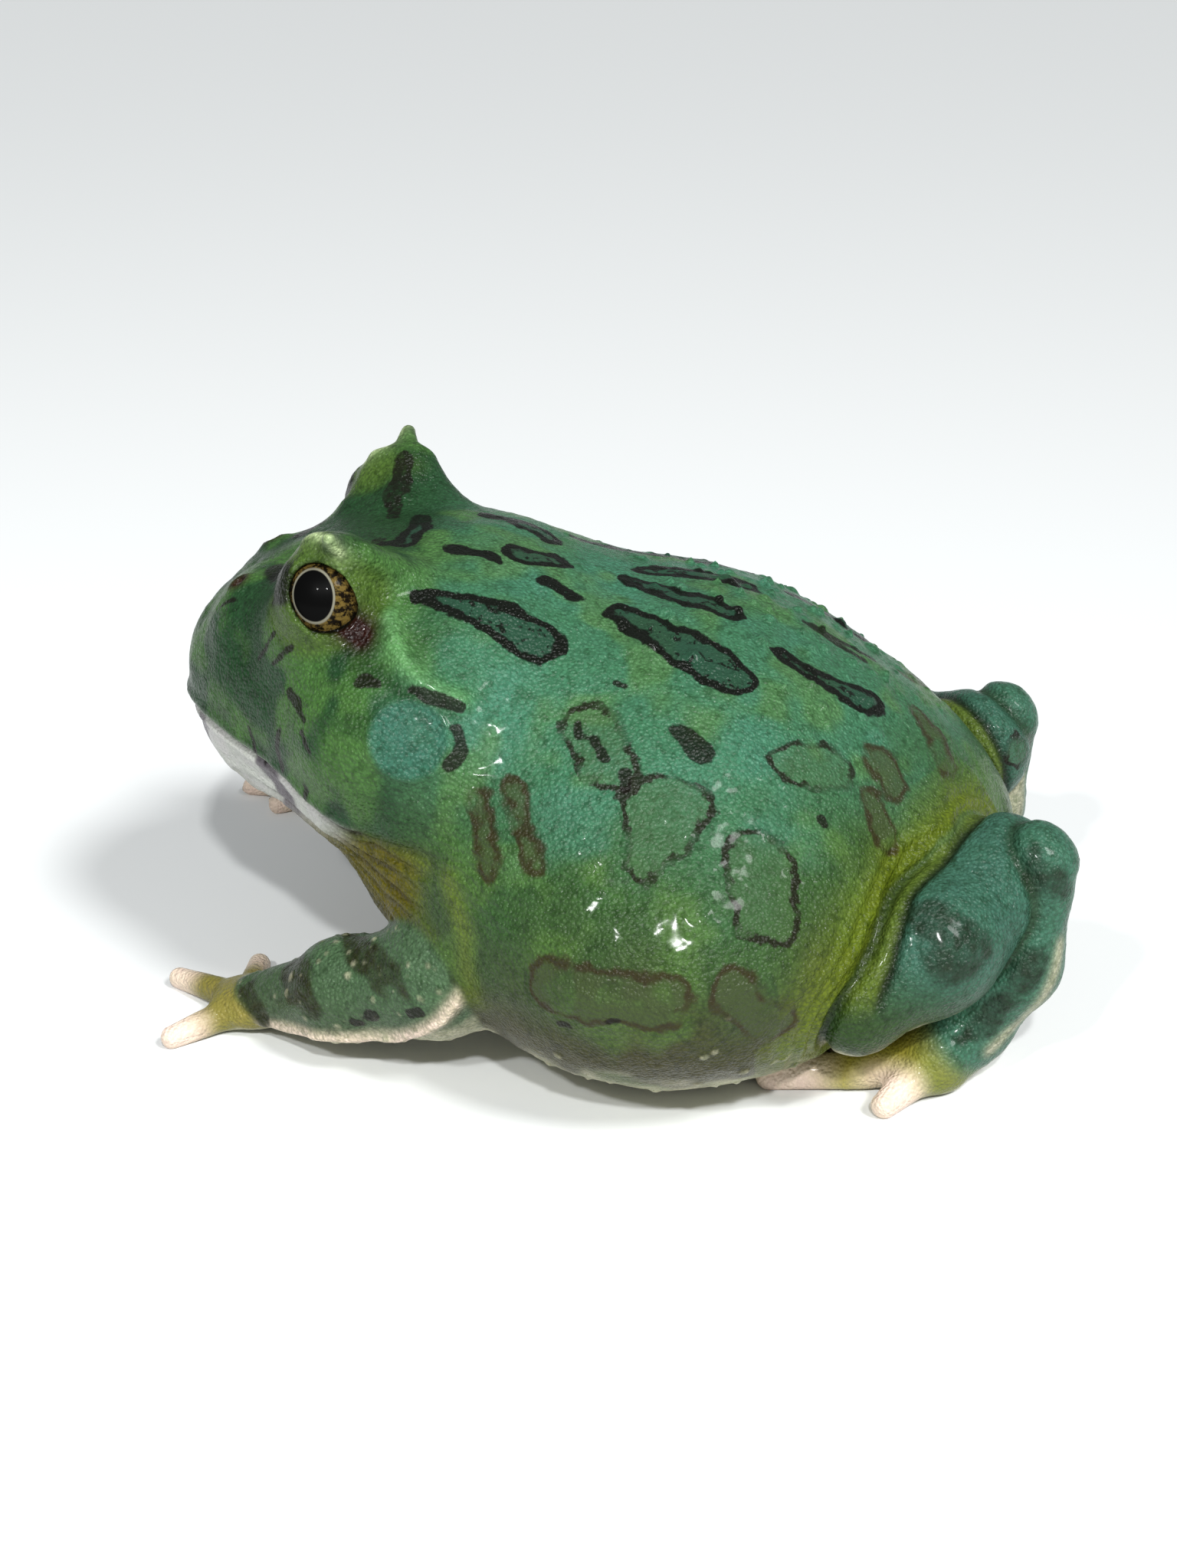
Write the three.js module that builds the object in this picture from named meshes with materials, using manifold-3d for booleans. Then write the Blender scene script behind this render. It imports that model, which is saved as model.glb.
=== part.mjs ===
// A life-size argentine horned frog at rest, in millimetres, with +Z up and the snout towards -Y.
// Its left side is +X. The origin lies on the floor, under the middle of the whole body.
import * as THREE from 'three';
import { mergeVertices } from 'three/addons/utils/BufferGeometryUtils.js';
import Module from 'manifold-3d';

const wasm = await Module();
wasm.setup();

// Driving dimensions
const BODY_HALF_WIDTH = 45;
const BELLY_LENGTH = 64;
const BELLY_LEVEL = 18.5;
const BACK_HEIGHT = 49.3;
const HEAD_HALF_WIDTH = 29.5;
const SNOUT_Y = -49.3;
const EYE_RADIUS = 4.9;
const EYE_PLACE = [17.4, -28.6, 51.6];
const LID_THICKNESS = 0.8;
const LID_OPENING = [3.2, 4.3];
const HORN_TIP = [21.2, -27.1, 59.3];
const MOUTH_FRONT_Z = 34.4;
const MOUTH_CORNER_Y = -25.5;
const MOUTH_CORNER_DROP = 6.3;
const EARDRUM_RADIUS = 4.2;
const NODE_GAP = 0.3;
const MOUTH_GAP = 0.5;

// Colours of the wet skin and of the eyes
const SKIN_TEAL = 0x4f9c86;
const SKIN_GREEN = 0x5f9a5c;
const SKIN_BLUE = 0x3f8f8c;
const LIP_PALE = 0xcfd0bf;
const EYE_GOLD = 0x2b241a;
const EYE_ROUGHNESS = 0.05;
const SKIN_ROUGHNESS = 0.35;

// Forms: a ball is an ellipsoid, a limb is a rod with round ends that tapers
const ball = (at, size, blend = 0, roll = 0) => ({ kind: 'ball', at, size, blend, roll });
const limb = (from, to, rootRadius, tipRadius, blend = 0) => ({
  kind: 'limb', from, to, rootRadius, tipRadius, blend,
});

const flipX = ([x, y, z]) => [-x, y, z];

function mirrored(form) {
  if (form.kind === 'ball') {
    return { ...form, at: flipX(form.at), roll: -form.roll };
  }
  return { ...form, from: flipX(form.from), to: flipX(form.to) };
}

const bothSides = (...forms) => forms.flatMap((form) => [form, mirrored(form)]);

// Distance from a point to an ellipsoid turned about Y, negative inside
function ballDistance([x, y, z], { at, size, roll }) {
  const angle = THREE.MathUtils.degToRad(roll);
  const dx = x - at[0];
  const dz = z - at[2];
  const local = [
    dx * Math.cos(angle) - dz * Math.sin(angle),
    y - at[1],
    dx * Math.sin(angle) + dz * Math.cos(angle),
  ];
  const near = Math.hypot(...local.map((value, axis) => value / size[axis]));
  const slope = Math.hypot(...local.map((value, axis) => value / size[axis] ** 2));
  return near * (near - 1) / Math.max(slope, 1e-9);
}

// Distance from a point to a tapered rod, negative inside
function limbDistance(point, { from, to, rootRadius, tipRadius }) {
  const axis = to.map((value, i) => value - from[i]);
  const offset = point.map((value, i) => value - from[i]);
  const along = axis.reduce((sum, value, i) => sum + value * offset[i], 0)
    / axis.reduce((sum, value) => sum + value * value, 0);
  const share = THREE.MathUtils.clamp(along, 0, 1);
  const radius = THREE.MathUtils.lerp(rootRadius, tipRadius, share);
  return Math.hypot(...offset.map((value, i) => value - axis[i] * share)) - radius;
}

const formDistance = (point, form) => (
  form.kind === 'ball' ? ballDistance(point, form) : limbDistance(point, form)
);

// Two distances joined with a rounded fillet of the given breadth
function blended(first, second, breadth) {
  if (breadth <= 0) {
    return Math.min(first, second);
  }
  const overlap = Math.max(breadth - Math.abs(first - second), 0) / breadth;
  return Math.min(first, second) - overlap * overlap * breadth / 4;
}

const joined = (forms) => (point) => forms.reduce(
  (distance, form) => blended(distance, formDistance(point, form), form.blend),
  Infinity,
);

// The trunk: belly, back, nape, rump and chest
const trunkForms = [
  ball([0, 8.5, BELLY_LEVEL], [BODY_HALF_WIDTH, BELLY_LENGTH / 2, 23]),
  ball([0, 0, 27], [33, 33, BACK_HEIGHT - 27], 10),
  ball([0, -14.5, 36], [25.5, 15, 17], 9),
  ball([0, 27, 17], [21, 20.5, 17.5], 9),
  ball([0, -6, 16], [21, 13, 13.5], 7),
];

// The head: skull, snout, the mounds under the eyes and the ridges at the nostrils
const headForms = [
  ball([0, -22, 37.5], [HEAD_HALF_WIDTH, 16.5, 15.5]),
  ball([0, -32, 37.5], [16.5, -32 - SNOUT_Y, 13.2], 9),
  ...bothSides(
    ball([13, -27.6, 47.2], [8.5, 8.6, 5.8], 5),
    ball([7, -38.3, 44.8], [5, 5, 4.3], 4),
  ),
];

const jawForms = [
  ball([0, -21, 30.3], [26, 14.8, 9.2]),
  ball([0, -29.8, 30.3], [14.8, 17.4, 8.6], 8),
];

const NECK_BLEND = 7;
const JAW_BLEND = 3;
const trunk = joined(trunkForms);
const skull = joined(headForms);
const jaw = joined(jawForms);
const trunkAndHead = (point) => blended(
  blended(trunk(point), skull(point), NECK_BLEND),
  jaw(point),
  JAW_BLEND,
);

const hornForms = [
  limb([11.5, -26.3, 52.4], [17.2, -26.8, 56.6], 3.6, 1.9),
  limb([17.2, -26.8, 56.6], HORN_TIP, 1.9, 0.75, 1.5),
  limb([12.5, -30.8, 52], [16.8, -30, 56.9], 2.5, 1.2, 3),
  limb([12.5, -21.4, 51.4], [17.8, -24.4, 56.2], 2.9, 1.4, 3),
];

// The near arm is drawn in under the chest, the far one is stretched forward
const leftArm = {
  rods: [
    limb([20, -11, 20], [28.5, -14.5, 13.5], 8, 6.6),
    limb([28.2, -16, 12.2], [25.2, -27, 8.2], 6.8, 5.3, 4),
    limb([25.2, -27, 8.2], [20.8, -38, 4.1], 5.3, 2.8, 3),
  ],
  palm: ball([19.6, -39.6, 2.6], [4.6, 4.6, 2.6]),
  fingers: [
    limb([18.4, -41, 2.2], [12.6, -50.2, 1.1], 1.8, 1.3),
    limb([21.2, -41.3, 2.1], [26, -47.2, 1.1], 1.8, 1.3),
    limb([17, -40.6, 2.0], [8.4, -41.6, 1.1], 1.7, 1.3),
    limb([17, -39, 2.0], [11.8, -35.8, 1.1], 1.7, 1.3),
  ],
};

const rightArm = {
  rods: [
    limb([-20, -11, 21], [-33, -18, 13], 8, 7),
    limb([-33, -18.5, 12], [-37, -29, 9], 7.0, 6.0, 4),
    limb([-37, -29, 9], [-40.5, -42, 4.4], 5.9, 3.3, 3),
  ],
  palm: ball([-41.2, -43.4, 2.6], [4.6, 4.8, 2.6]),
  fingers: [
    limb([-41, -45, 2.2], [-42.2, -55.8, 1.1], 1.8, 1.3),
    limb([-42.8, -45, 2.1], [-49, -51.4, 1.1], 1.8, 1.3),
    limb([-40, -44.5, 2.0], [-36.5, -50.6, 1.1], 1.7, 1.3),
    limb([-39.5, -42.6, 2.0], [-33.8, -43.6, 1.1], 1.7, 1.3),
  ],
};

// A hind leg folded beside the rump, its heel high and its toes pointing forward along the floor
function hindLeg(side, back, heelLift) {
  const place = (x, y, z, lift = 0) => [side * x, y - back, z + lift];
  return {
    thigh: [limb(place(14, 35, 20), place(25, 30.5, 14.5), 9, 5.5)],
    shank: [
      limb(place(31, 29.2, 14), place(26.5, 36.8, 18.6), 5.8, 6.8),
      limb(place(26.5, 36.8, 18.6), place(16.5, 44.5, 22, heelLift), 6.8, 7.1, 3),
    ],
    ankle: [
      limb(place(20, 42.2, 6.4), place(20.5, 46.6, 14), 4.6, 4.4),
      limb(place(20.5, 46.6, 14), place(18.5, 47.8, 25, heelLift), 4.4, 4.6, 3),
    ],
    sole: limb(place(20, 42.2, 6.4), place(24.5, 39, 4.2), 4.6, 3.8),
    toes: [
      limb(place(24.5, 38.5, 3.2), place(31, 33, 1.3), 2.9, 1.5),
      limb(place(24, 38.5, 3.0), place(26.6, 20.5, 1.2), 2.9, 1.5),
      limb(place(22, 38.5, 2.4), place(20.8, 28, 1.1), 2.3, 1.4),
      limb(place(20.5, 39, 2.3), place(15.8, 31.5, 1.1), 2.1, 1.4),
      limb(place(18, 41, 2.2), place(11.5, 36, 1.1), 2.0, 1.3),
    ],
  };
}

const leftLeg = hindLeg(1, 0, 0);
const RIGHT_LEG_BACK = 1.5;
const RIGHT_HEEL_LIFT = 1.2;
const rightLeg = hindLeg(-1, RIGHT_LEG_BACK, RIGHT_HEEL_LIFT);

// Triangles in one closed surface, as a solid that faces outwards
function solidFrom(geometry) {
  const bare = geometry.clone();
  bare.deleteAttribute('normal');
  bare.deleteAttribute('uv');
  const merged = mergeVertices(bare, 1e-4);
  const places = merged.getAttribute('position').array;
  const corners = [];
  for (let i = 0; i < merged.index.count; i += 3) {
    const [a, b, c] = [0, 1, 2].map((step) => merged.index.getX(i + step));
    if (a !== b && b !== c && c !== a) {
      corners.push([a, b, c]);
    }
  }
  const at = (index) => new THREE.Vector3().fromArray(places, index * 3);
  const volume = corners.reduce((sum, [a, b, c]) => sum + at(a).dot(at(b).cross(at(c))), 0);
  const outward = volume < 0 ? corners.map(([a, b, c]) => [a, c, b]) : corners;
  return new wasm.Manifold(new wasm.Mesh({
    numProp: 3,
    vertProperties: new Float32Array(places),
    triVerts: new Uint32Array(outward.flat()),
  }));
}

// The first place where a ray from inside a form comes out of it
function surfacePoint(distance, from, direction, offset = 0) {
  const STRIDE = 0.6;
  const REACH = 120;
  const at = (length) => from.map((value, axis) => value + direction[axis] * length);
  let outer = STRIDE;
  while (outer < REACH && distance(at(outer)) < offset) {
    outer += STRIDE;
  }
  let inner = outer - STRIDE;
  for (let halving = 0; halving < 16; halving += 1) {
    const middle = (inner + outer) / 2;
    if (distance(at(middle)) < offset) {
      inner = middle;
    } else {
      outer = middle;
    }
  }
  return at(outer);
}

// A skin of triangles over a form: a sphere's vertices slide out along rays from an inner point.
// The sphere is stretched and shifted first, so that more of its vertices face one way.
function skinOver(distance, { from, stretch = [1, 1, 1], shift = [0, 0, 0], detail, offset = 0 }) {
  const geometry = new THREE.IcosahedronGeometry(1, detail);
  const position = geometry.getAttribute('position');
  const vertex = new THREE.Vector3();
  for (let i = 0; i < position.count; i += 1) {
    vertex.fromBufferAttribute(position, i);
    vertex.multiply(new THREE.Vector3(...stretch)).add(new THREE.Vector3(...shift)).normalize();
    position.setXYZ(i, ...surfacePoint(distance, from, vertex.toArray(), offset));
  }
  return solidFrom(geometry);
}

// A finger or toe: a tapered rod with round ends, turned round its own line
function digit({ from, to, rootRadius, tipRadius }, offset = 0) {
  const SIDES = 9;
  const CAP_STEPS = 3;
  const root = new THREE.Vector3(...from);
  const tip = new THREE.Vector3(...to);
  const length = root.distanceTo(tip);
  const profile = [];
  for (let step = 0; step <= CAP_STEPS; step += 1) {
    const angle = (step / CAP_STEPS) * Math.PI / 2;
    const radius = rootRadius + offset;
    profile.push(new THREE.Vector2(radius * Math.sin(angle), -radius * Math.cos(angle)));
  }
  for (let step = CAP_STEPS; step >= 0; step -= 1) {
    const angle = (step / CAP_STEPS) * Math.PI / 2;
    const radius = tipRadius + offset;
    profile.push(new THREE.Vector2(radius * Math.sin(angle), length + radius * Math.cos(angle)));
  }
  const geometry = new THREE.LatheGeometry(profile, SIDES);
  const turn = new THREE.Quaternion().setFromUnitVectors(
    new THREE.Vector3(0, 1, 0),
    tip.clone().sub(root).normalize(),
  );
  geometry.applyQuaternion(turn);
  geometry.translate(...from);
  return solidFrom(geometry);
}

const allJoined = (solids) => solids.reduce((whole, solid) => whole.add(solid));
const onFloor = (solid) => solid.trimByPlane([0, 0, 1], 0);

function largestPiece(solid) {
  const pieces = solid.decompose();
  return pieces.reduce((best, piece) => (piece.volume() > best.volume() ? piece : best));
}

// The neck: a sloping plane behind the eardrums, from the throat up to the nape
const NECK_LOW = [-25, 14];
const NECK_HIGH = [-9.5, 46];
const neckRun = new THREE.Vector2(...NECK_HIGH).sub(new THREE.Vector2(...NECK_LOW)).normalize();
const neckNormal = [0, neckRun.y, -neckRun.x];
const neckOffset = neckNormal[1] * NECK_LOW[0] + neckNormal[2] * NECK_LOW[1];

const reversed = (vector) => vector.map((value) => -value);
const behindPlane = (solid, normal, offset) => solid.trimByPlane(normal, offset);
const beforePlane = (solid, normal, offset) => solid.trimByPlane(reversed(normal), -offset);

// The line of the mouth: its height falls from the tip of the snout to the corner of the jaws
function mouthHeight(y) {
  const share = THREE.MathUtils.clamp((y - SNOUT_Y) / (MOUTH_CORNER_Y - SNOUT_Y), 0, 1);
  return MOUTH_FRONT_Z - MOUTH_CORNER_DROP * share ** 1.6;
}

function belowMouth(gap) {
  const AHEAD = -62;
  const UNDER = -5;
  const BREADTH = 80;
  const STEPS = 12;
  const end = MOUTH_CORNER_Y - gap;
  const outline = new THREE.Shape();
  outline.moveTo(end, UNDER);
  outline.lineTo(AHEAD, UNDER);
  outline.lineTo(AHEAD, mouthHeight(AHEAD) - gap);
  for (let step = 0; step <= STEPS; step += 1) {
    const y = THREE.MathUtils.lerp(SNOUT_Y, end, step / STEPS);
    outline.lineTo(y, mouthHeight(y) - gap);
  }
  const geometry = new THREE.ExtrudeGeometry(outline, { depth: BREADTH, bevelEnabled: false, steps: 1 });
  geometry.applyMatrix4(new THREE.Matrix4().makeBasis(
    new THREE.Vector3(0, 1, 0),
    new THREE.Vector3(0, 0, 1),
    new THREE.Vector3(1, 0, 0),
  ));
  geometry.translate(-BREADTH / 2, 0, 0);
  return solidFrom(geometry);
}

// Lips: a thin roll along the line of the mouth, half above it and half below
function lipRoll() {
  const LIP_RADIUS = 1.1;
  const SUNK = 0.55;
  const HALF_TURN = 94;
  const STATIONS = 17;
  const HUB_Y = -24;
  const places = [];
  for (let station = 0; station < STATIONS; station += 1) {
    const turned = THREE.MathUtils.lerp(-HALF_TURN, HALF_TURN, station / (STATIONS - 1));
    const angle = THREE.MathUtils.degToRad(turned);
    const direction = [Math.sin(angle), -Math.cos(angle), 0];
    let height = MOUTH_FRONT_Z;
    let place = [0, SNOUT_Y, height];
    for (let round = 0; round < 4; round += 1) {
      place = surfacePoint(trunkAndHead, [0, HUB_Y, height], direction);
      height = mouthHeight(place[1]);
    }
    places.push(new THREE.Vector3(
      place[0] - direction[0] * SUNK,
      place[1] - direction[1] * SUNK,
      height,
    ));
  }
  const section = new THREE.Shape();
  section.absarc(0, 0, LIP_RADIUS, 0, Math.PI * 2);
  return solidFrom(new THREE.ExtrudeGeometry(section, {
    extrudePath: new THREE.CatmullRomCurve3(places),
    steps: 24,
    curveSegments: 3,
    bevelEnabled: false,
  }));
}

// Eyes look sideways, a little forward and up
const EYE_LOOK = new THREE.Vector3(0.92, -0.11, 0.375).normalize();
const sideOf = (side) => (place) => (side > 0 ? place : flipX(place));

function eyeBall(side, spare) {
  const geometry = new THREE.IcosahedronGeometry(EYE_RADIUS + spare, 3);
  geometry.translate(...sideOf(side)(EYE_PLACE));
  return solidFrom(geometry);
}

// The lids: a thin shell over the eyeball. Its oval opening leans forward at the top.
function lids(side) {
  const LEAN = THREE.MathUtils.degToRad(30);
  const BACKWARD = 0.55;
  const DOWNWARD = 0.78;
  const DEPTH = 9;
  const [halfWidth, halfHeight] = LID_OPENING;
  const look = new THREE.Vector3(...sideOf(side)(EYE_LOOK.toArray()));
  const along = new THREE.Vector3(0, 1, 0).addScaledVector(look, -look.y).normalize();
  const upward = look.clone().cross(along).multiplyScalar(side);
  const across = along.clone().multiplyScalar(Math.cos(LEAN)).addScaledVector(upward, Math.sin(LEAN));
  const rise = upward.clone().multiplyScalar(Math.cos(LEAN)).addScaledVector(along, -Math.sin(LEAN));
  const middle = new THREE.Vector3(...sideOf(side)(EYE_PLACE));
  const shell = new THREE.IcosahedronGeometry(EYE_RADIUS + LID_THICKNESS, 4);
  shell.translate(...middle.toArray());
  const opening = new THREE.CylinderGeometry(1, 1, DEPTH, 20);
  opening.applyMatrix4(new THREE.Matrix4().makeBasis(
    across.clone().multiplyScalar(halfWidth),
    look,
    rise.clone().multiplyScalar(halfHeight),
  ));
  const start = middle.addScaledVector(look, DEPTH / 2).addScaledVector(across, BACKWARD);
  opening.translate(...start.addScaledVector(rise, -DOWNWARD).toArray());
  return solidFrom(shell).subtract(solidFrom(opening));
}

// Surface direction of a form, from its slope
function outwardAt(distance, point) {
  const STEP = 0.2;
  const slope = [0, 1, 2].map((axis) => {
    const ahead = [...point];
    const behind = [...point];
    ahead[axis] += STEP;
    behind[axis] -= STEP;
    return distance(ahead) - distance(behind);
  });
  return new THREE.Vector3(...slope).normalize();
}

// The eardrum: a low disc let into the side of the head
const EARDRUM_RAY_FROM = [0, -18, 38.5];
const EARDRUM_RAY = new THREE.Vector3(1, 0, 0.08).normalize();

function eardrum(side, spare) {
  const THICKNESS = 1.5;
  const PROUD = 0.35;
  const flip = sideOf(side);
  const middle = surfacePoint(trunkAndHead, EARDRUM_RAY_FROM, flip(EARDRUM_RAY.toArray()));
  const outward = outwardAt(trunkAndHead, middle);
  const seat = new THREE.Vector3(...middle).addScaledVector(outward, PROUD - THICKNESS / 2);
  const turn = new THREE.Quaternion().setFromUnitVectors(new THREE.Vector3(0, 1, 0), outward);
  const geometry = new THREE.SphereGeometry(1, 14, 6);
  geometry.scale(EARDRUM_RADIUS + spare, THICKNESS + spare, EARDRUM_RADIUS + spare);
  geometry.applyQuaternion(turn);
  geometry.translate(...seat.toArray());
  return solidFrom(geometry);
}

// Nostrils: small pits with a raised rim on the ridges of the snout
const NOSTRIL_RIM = { radius: 1.7, lift: -0.9 };
const NOSTRIL_PIT = { radius: 0.8, lift: 0.35 };
const NOSTRIL_RAY_FROM = [4, -33, 42];
const NOSTRIL_RAY = new THREE.Vector3(0.31, -0.69, 0.655).normalize();

function nostrilPlace(side) {
  const flip = sideOf(side);
  const middle = surfacePoint(trunkAndHead, flip(NOSTRIL_RAY_FROM), flip(NOSTRIL_RAY.toArray()));
  return { middle: new THREE.Vector3(...middle), outward: outwardAt(trunkAndHead, middle) };
}

function bead(place, radius, detail) {
  const geometry = new THREE.IcosahedronGeometry(radius, detail);
  geometry.translate(...place.toArray());
  return solidFrom(geometry);
}

function nostrilRim(side) {
  const { middle, outward } = nostrilPlace(side);
  return bead(middle.clone().addScaledVector(outward, NOSTRIL_RIM.lift), NOSTRIL_RIM.radius, 2);
}

function nostrilPit(side) {
  const { middle, outward } = nostrilPlace(side);
  return bead(middle.clone().addScaledVector(outward, NOSTRIL_PIT.lift), NOSTRIL_PIT.radius, 1);
}

// Skins over the larger forms. A second one, a gap further out, clears the neighbours.
const trunkSkin = (offset) => skinOver(trunkAndHead, {
  from: [0, 8, 24], stretch: [1.15, 1, 0.75], detail: 8, offset,
});
const headSkin = (offset) => skinOver(trunkAndHead, {
  from: [0, -20, 36], stretch: [1, 1, 0.9], shift: [0, -0.42, 0.05], detail: 9, offset,
});

function hornSkin(side, offset) {
  const forms = side > 0 ? hornForms : hornForms.map(mirrored);
  const middle = sideOf(side)([15.8, -26.8, 54.4]);
  return skinOver(joined(forms), {
    from: middle, stretch: [0.8, 1, 1], shift: [side * 0.15, 0, 0.2], detail: 3, offset,
  });
}

// Hip plane: the skin fold between the flank and the folded hind leg
const THIGH_BLEND = 4;
const GROIN_POINTS = [[25, 40, 30], [29, 32.4, 24.8], [27, 25, 6.6]];

function groinPlane(side, back) {
  const points = GROIN_POINTS.map(([x, y, z]) => new THREE.Vector3(x, y - back, z));
  const plane = new THREE.Plane().setFromCoplanarPoints(...points);
  const normal = plane.normal.x > 0 ? plane.normal : plane.normal.clone().negate();
  return { normal: sideOf(side)(normal.toArray()), offset: normal.dot(points[0]) };
}

function buildLeg(side, leg, back) {
  const groin = groinPlane(side, back);
  const shankSkin = (offset) => skinOver(joined(leg.shank), {
    from: leg.shank[0].to, detail: 4, offset,
  });
  const thighWhole = skinOver(joined([...trunkForms, { ...leg.thigh[0], blend: THIGH_BLEND }]), {
    from: leg.thigh[0].from.map((value, axis) => (value + leg.thigh[0].to[axis]) / 2),
    detail: 4,
  });
  const footSkin = (offset) => allJoined([
    skinOver(joined(leg.ankle), { from: leg.ankle[0].to, stretch: [1, 1, 2], detail: 4, offset }),
    digit(leg.sole, offset),
    ...leg.toes.map((toe) => digit(toe, offset)),
  ]);
  return {
    groin,
    shank: shankSkin(0),
    clearShank: shankSkin(NODE_GAP),
    thigh: behindPlane(thighWhole, groin.normal, groin.offset + NODE_GAP),
    foot: footSkin(0),
    clearFoot: footSkin(NODE_GAP),
  };
}

function buildArm(arm) {
  const rods = joined(arm.rods);
  const armSkin = (offset) => skinOver(rods, {
    from: arm.rods[1].from, detail: 4, offset,
  });
  const palm = skinOver((point) => formDistance(point, arm.palm), { from: arm.palm.at, detail: 3 });
  const hand = allJoined([palm, ...arm.fingers.map((finger) => digit(finger))]);
  return { arm: armSkin(0), clearArm: armSkin(NODE_GAP), hand };
}

const solids = {};
const sides = { left: 1, right: -1 };
const arms = { left: buildArm(leftArm), right: buildArm(rightArm) };
const legs = { left: buildLeg(1, leftLeg, 0), right: buildLeg(-1, rightLeg, RIGHT_LEG_BACK) };

// The trunk is whole from the neck to the vent, less the two folded hind legs
const torsoClear = trunkSkin(NODE_GAP);
solids.torso = behindPlane(trunkSkin(0), neckNormal, neckOffset + NODE_GAP);
for (const name of Object.keys(sides)) {
  const { groin, clearShank } = legs[name];
  solids.torso = beforePlane(solids.torso, groin.normal, groin.offset).subtract(clearShank);
}

// The head in front of the neck, with its lips, lids, nostrils and the beds of eyes and eardrums
let front = beforePlane(headSkin(0), neckNormal, neckOffset);
front = front.add(beforePlane(lipRoll(), neckNormal, neckOffset));
solids.lower_jaw = front.intersect(belowMouth(MOUTH_GAP));
solids.head = front.subtract(belowMouth(0));
const headClear = headSkin(NODE_GAP);
for (const [name, side] of Object.entries(sides)) {
  solids.head = solids.head.add(lids(side)).add(nostrilRim(side)).subtract(nostrilPit(side));
  solids.head = solids.head.subtract(eyeBall(side, NODE_GAP)).subtract(eardrum(side, NODE_GAP));
  solids[`eye_${name}`] = eyeBall(side, 0);
  solids[`tympanum_${name}`] = eardrum(side, 0);
}
for (const [name, side] of Object.entries(sides)) {
  const horn = hornSkin(side, 0).subtract(headClear).subtract(eyeBall(side, NODE_GAP));
  solids[`horn_${name}`] = horn;
  solids.head = solids.head.subtract(hornSkin(side, NODE_GAP));
}

for (const name of Object.keys(sides)) {
  const { arm, clearArm, hand } = arms[name];
  const { thigh, shank, clearShank, foot, clearFoot } = legs[name];
  solids[`arm_${name}`] = arm.subtract(torsoClear).subtract(headClear);
  solids[`hand_${name}`] = hand.subtract(clearArm);
  solids[`thigh_${name}`] = thigh.subtract(clearShank).subtract(clearFoot);
  solids[`shank_${name}`] = shank;
  solids[`foot_${name}`] = foot.subtract(clearShank).subtract(torsoClear);
}

const COLOURS = {
  eye: EYE_GOLD,
  lower_jaw: LIP_PALE,
  head: SKIN_GREEN,
  horn: SKIN_GREEN,
  shank: SKIN_BLUE,
  foot: SKIN_BLUE,
};

function colourOf(name) {
  const key = Object.keys(COLOURS).find((part) => name.startsWith(part));
  return key ? COLOURS[key] : SKIN_TEAL;
}

function meshOf(name, solid) {
  const { vertProperties, triVerts } = largestPiece(onFloor(solid)).getMesh();
  const geometry = new THREE.BufferGeometry();
  geometry.setAttribute('position', new THREE.BufferAttribute(new Float32Array(vertProperties), 3));
  geometry.setIndex(new THREE.BufferAttribute(new Uint32Array(triVerts), 1));
  geometry.computeVertexNormals();
  const roughness = name.startsWith('eye') ? EYE_ROUGHNESS : SKIN_ROUGHNESS;
  const material = new THREE.MeshStandardMaterial({ color: colourOf(name), roughness, metalness: 0 });
  const mesh = new THREE.Mesh(geometry, material);
  mesh.name = name;
  return mesh;
}

const frog = new THREE.Group();
for (const [name, solid] of Object.entries(solids)) {
  frog.add(meshOf(name, solid));
}
const middle = new THREE.Box3().setFromObject(frog).getCenter(new THREE.Vector3());
frog.position.set(-middle.x, -middle.y, 0);
frog.updateMatrixWorld(true);

export default frog;
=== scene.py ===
import math

import bpy
import numpy as np
from mathutils import Matrix, Vector


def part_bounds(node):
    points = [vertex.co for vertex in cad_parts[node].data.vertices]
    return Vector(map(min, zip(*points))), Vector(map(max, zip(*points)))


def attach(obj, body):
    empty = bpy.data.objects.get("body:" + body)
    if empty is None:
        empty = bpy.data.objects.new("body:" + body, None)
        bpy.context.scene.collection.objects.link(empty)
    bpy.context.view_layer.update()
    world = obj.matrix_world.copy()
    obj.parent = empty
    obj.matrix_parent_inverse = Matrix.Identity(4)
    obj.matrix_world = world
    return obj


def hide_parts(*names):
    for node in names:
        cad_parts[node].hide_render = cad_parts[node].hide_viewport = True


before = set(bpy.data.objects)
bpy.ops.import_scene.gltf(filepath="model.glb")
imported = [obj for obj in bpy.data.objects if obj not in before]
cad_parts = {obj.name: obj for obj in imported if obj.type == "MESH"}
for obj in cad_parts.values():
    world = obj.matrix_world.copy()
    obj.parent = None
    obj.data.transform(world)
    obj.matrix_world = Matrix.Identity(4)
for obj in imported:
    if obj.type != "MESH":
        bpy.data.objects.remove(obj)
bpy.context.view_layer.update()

MM = 0.001

# Driving dimensions, as in the solids
BODY_HALF_WIDTH = 45.0
BELLY_LENGTH = 64.0
BELLY_LEVEL = 18.5
BACK_HEIGHT = 49.3
HEAD_HALF_WIDTH = 29.5
SNOUT_Y = -49.3
EYE_RADIUS = 4.9
EYE_PLACE = (17.4, -28.6, 51.6)
EYE_LOOK = (0.92, -0.11, 0.375)
HORN_TIP = (21.2, -27.1, 59.3)
MOUTH_FRONT_Z = 34.4
MOUTH_CORNER_Y = -25.5
MOUTH_CORNER_DROP = 6.3
EARDRUM_RADIUS = 4.2
EARDRUM_PLACE = (29.1, -18.0, 40.6)
RIGHT_LEG_FORWARD = 1.5
RIGHT_HEEL_LIFT = 1.2

CELL = 0.6


def node_middle(name):
    low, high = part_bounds(name)
    return (np.array(low) + np.array(high)) / 2 / MM


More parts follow.
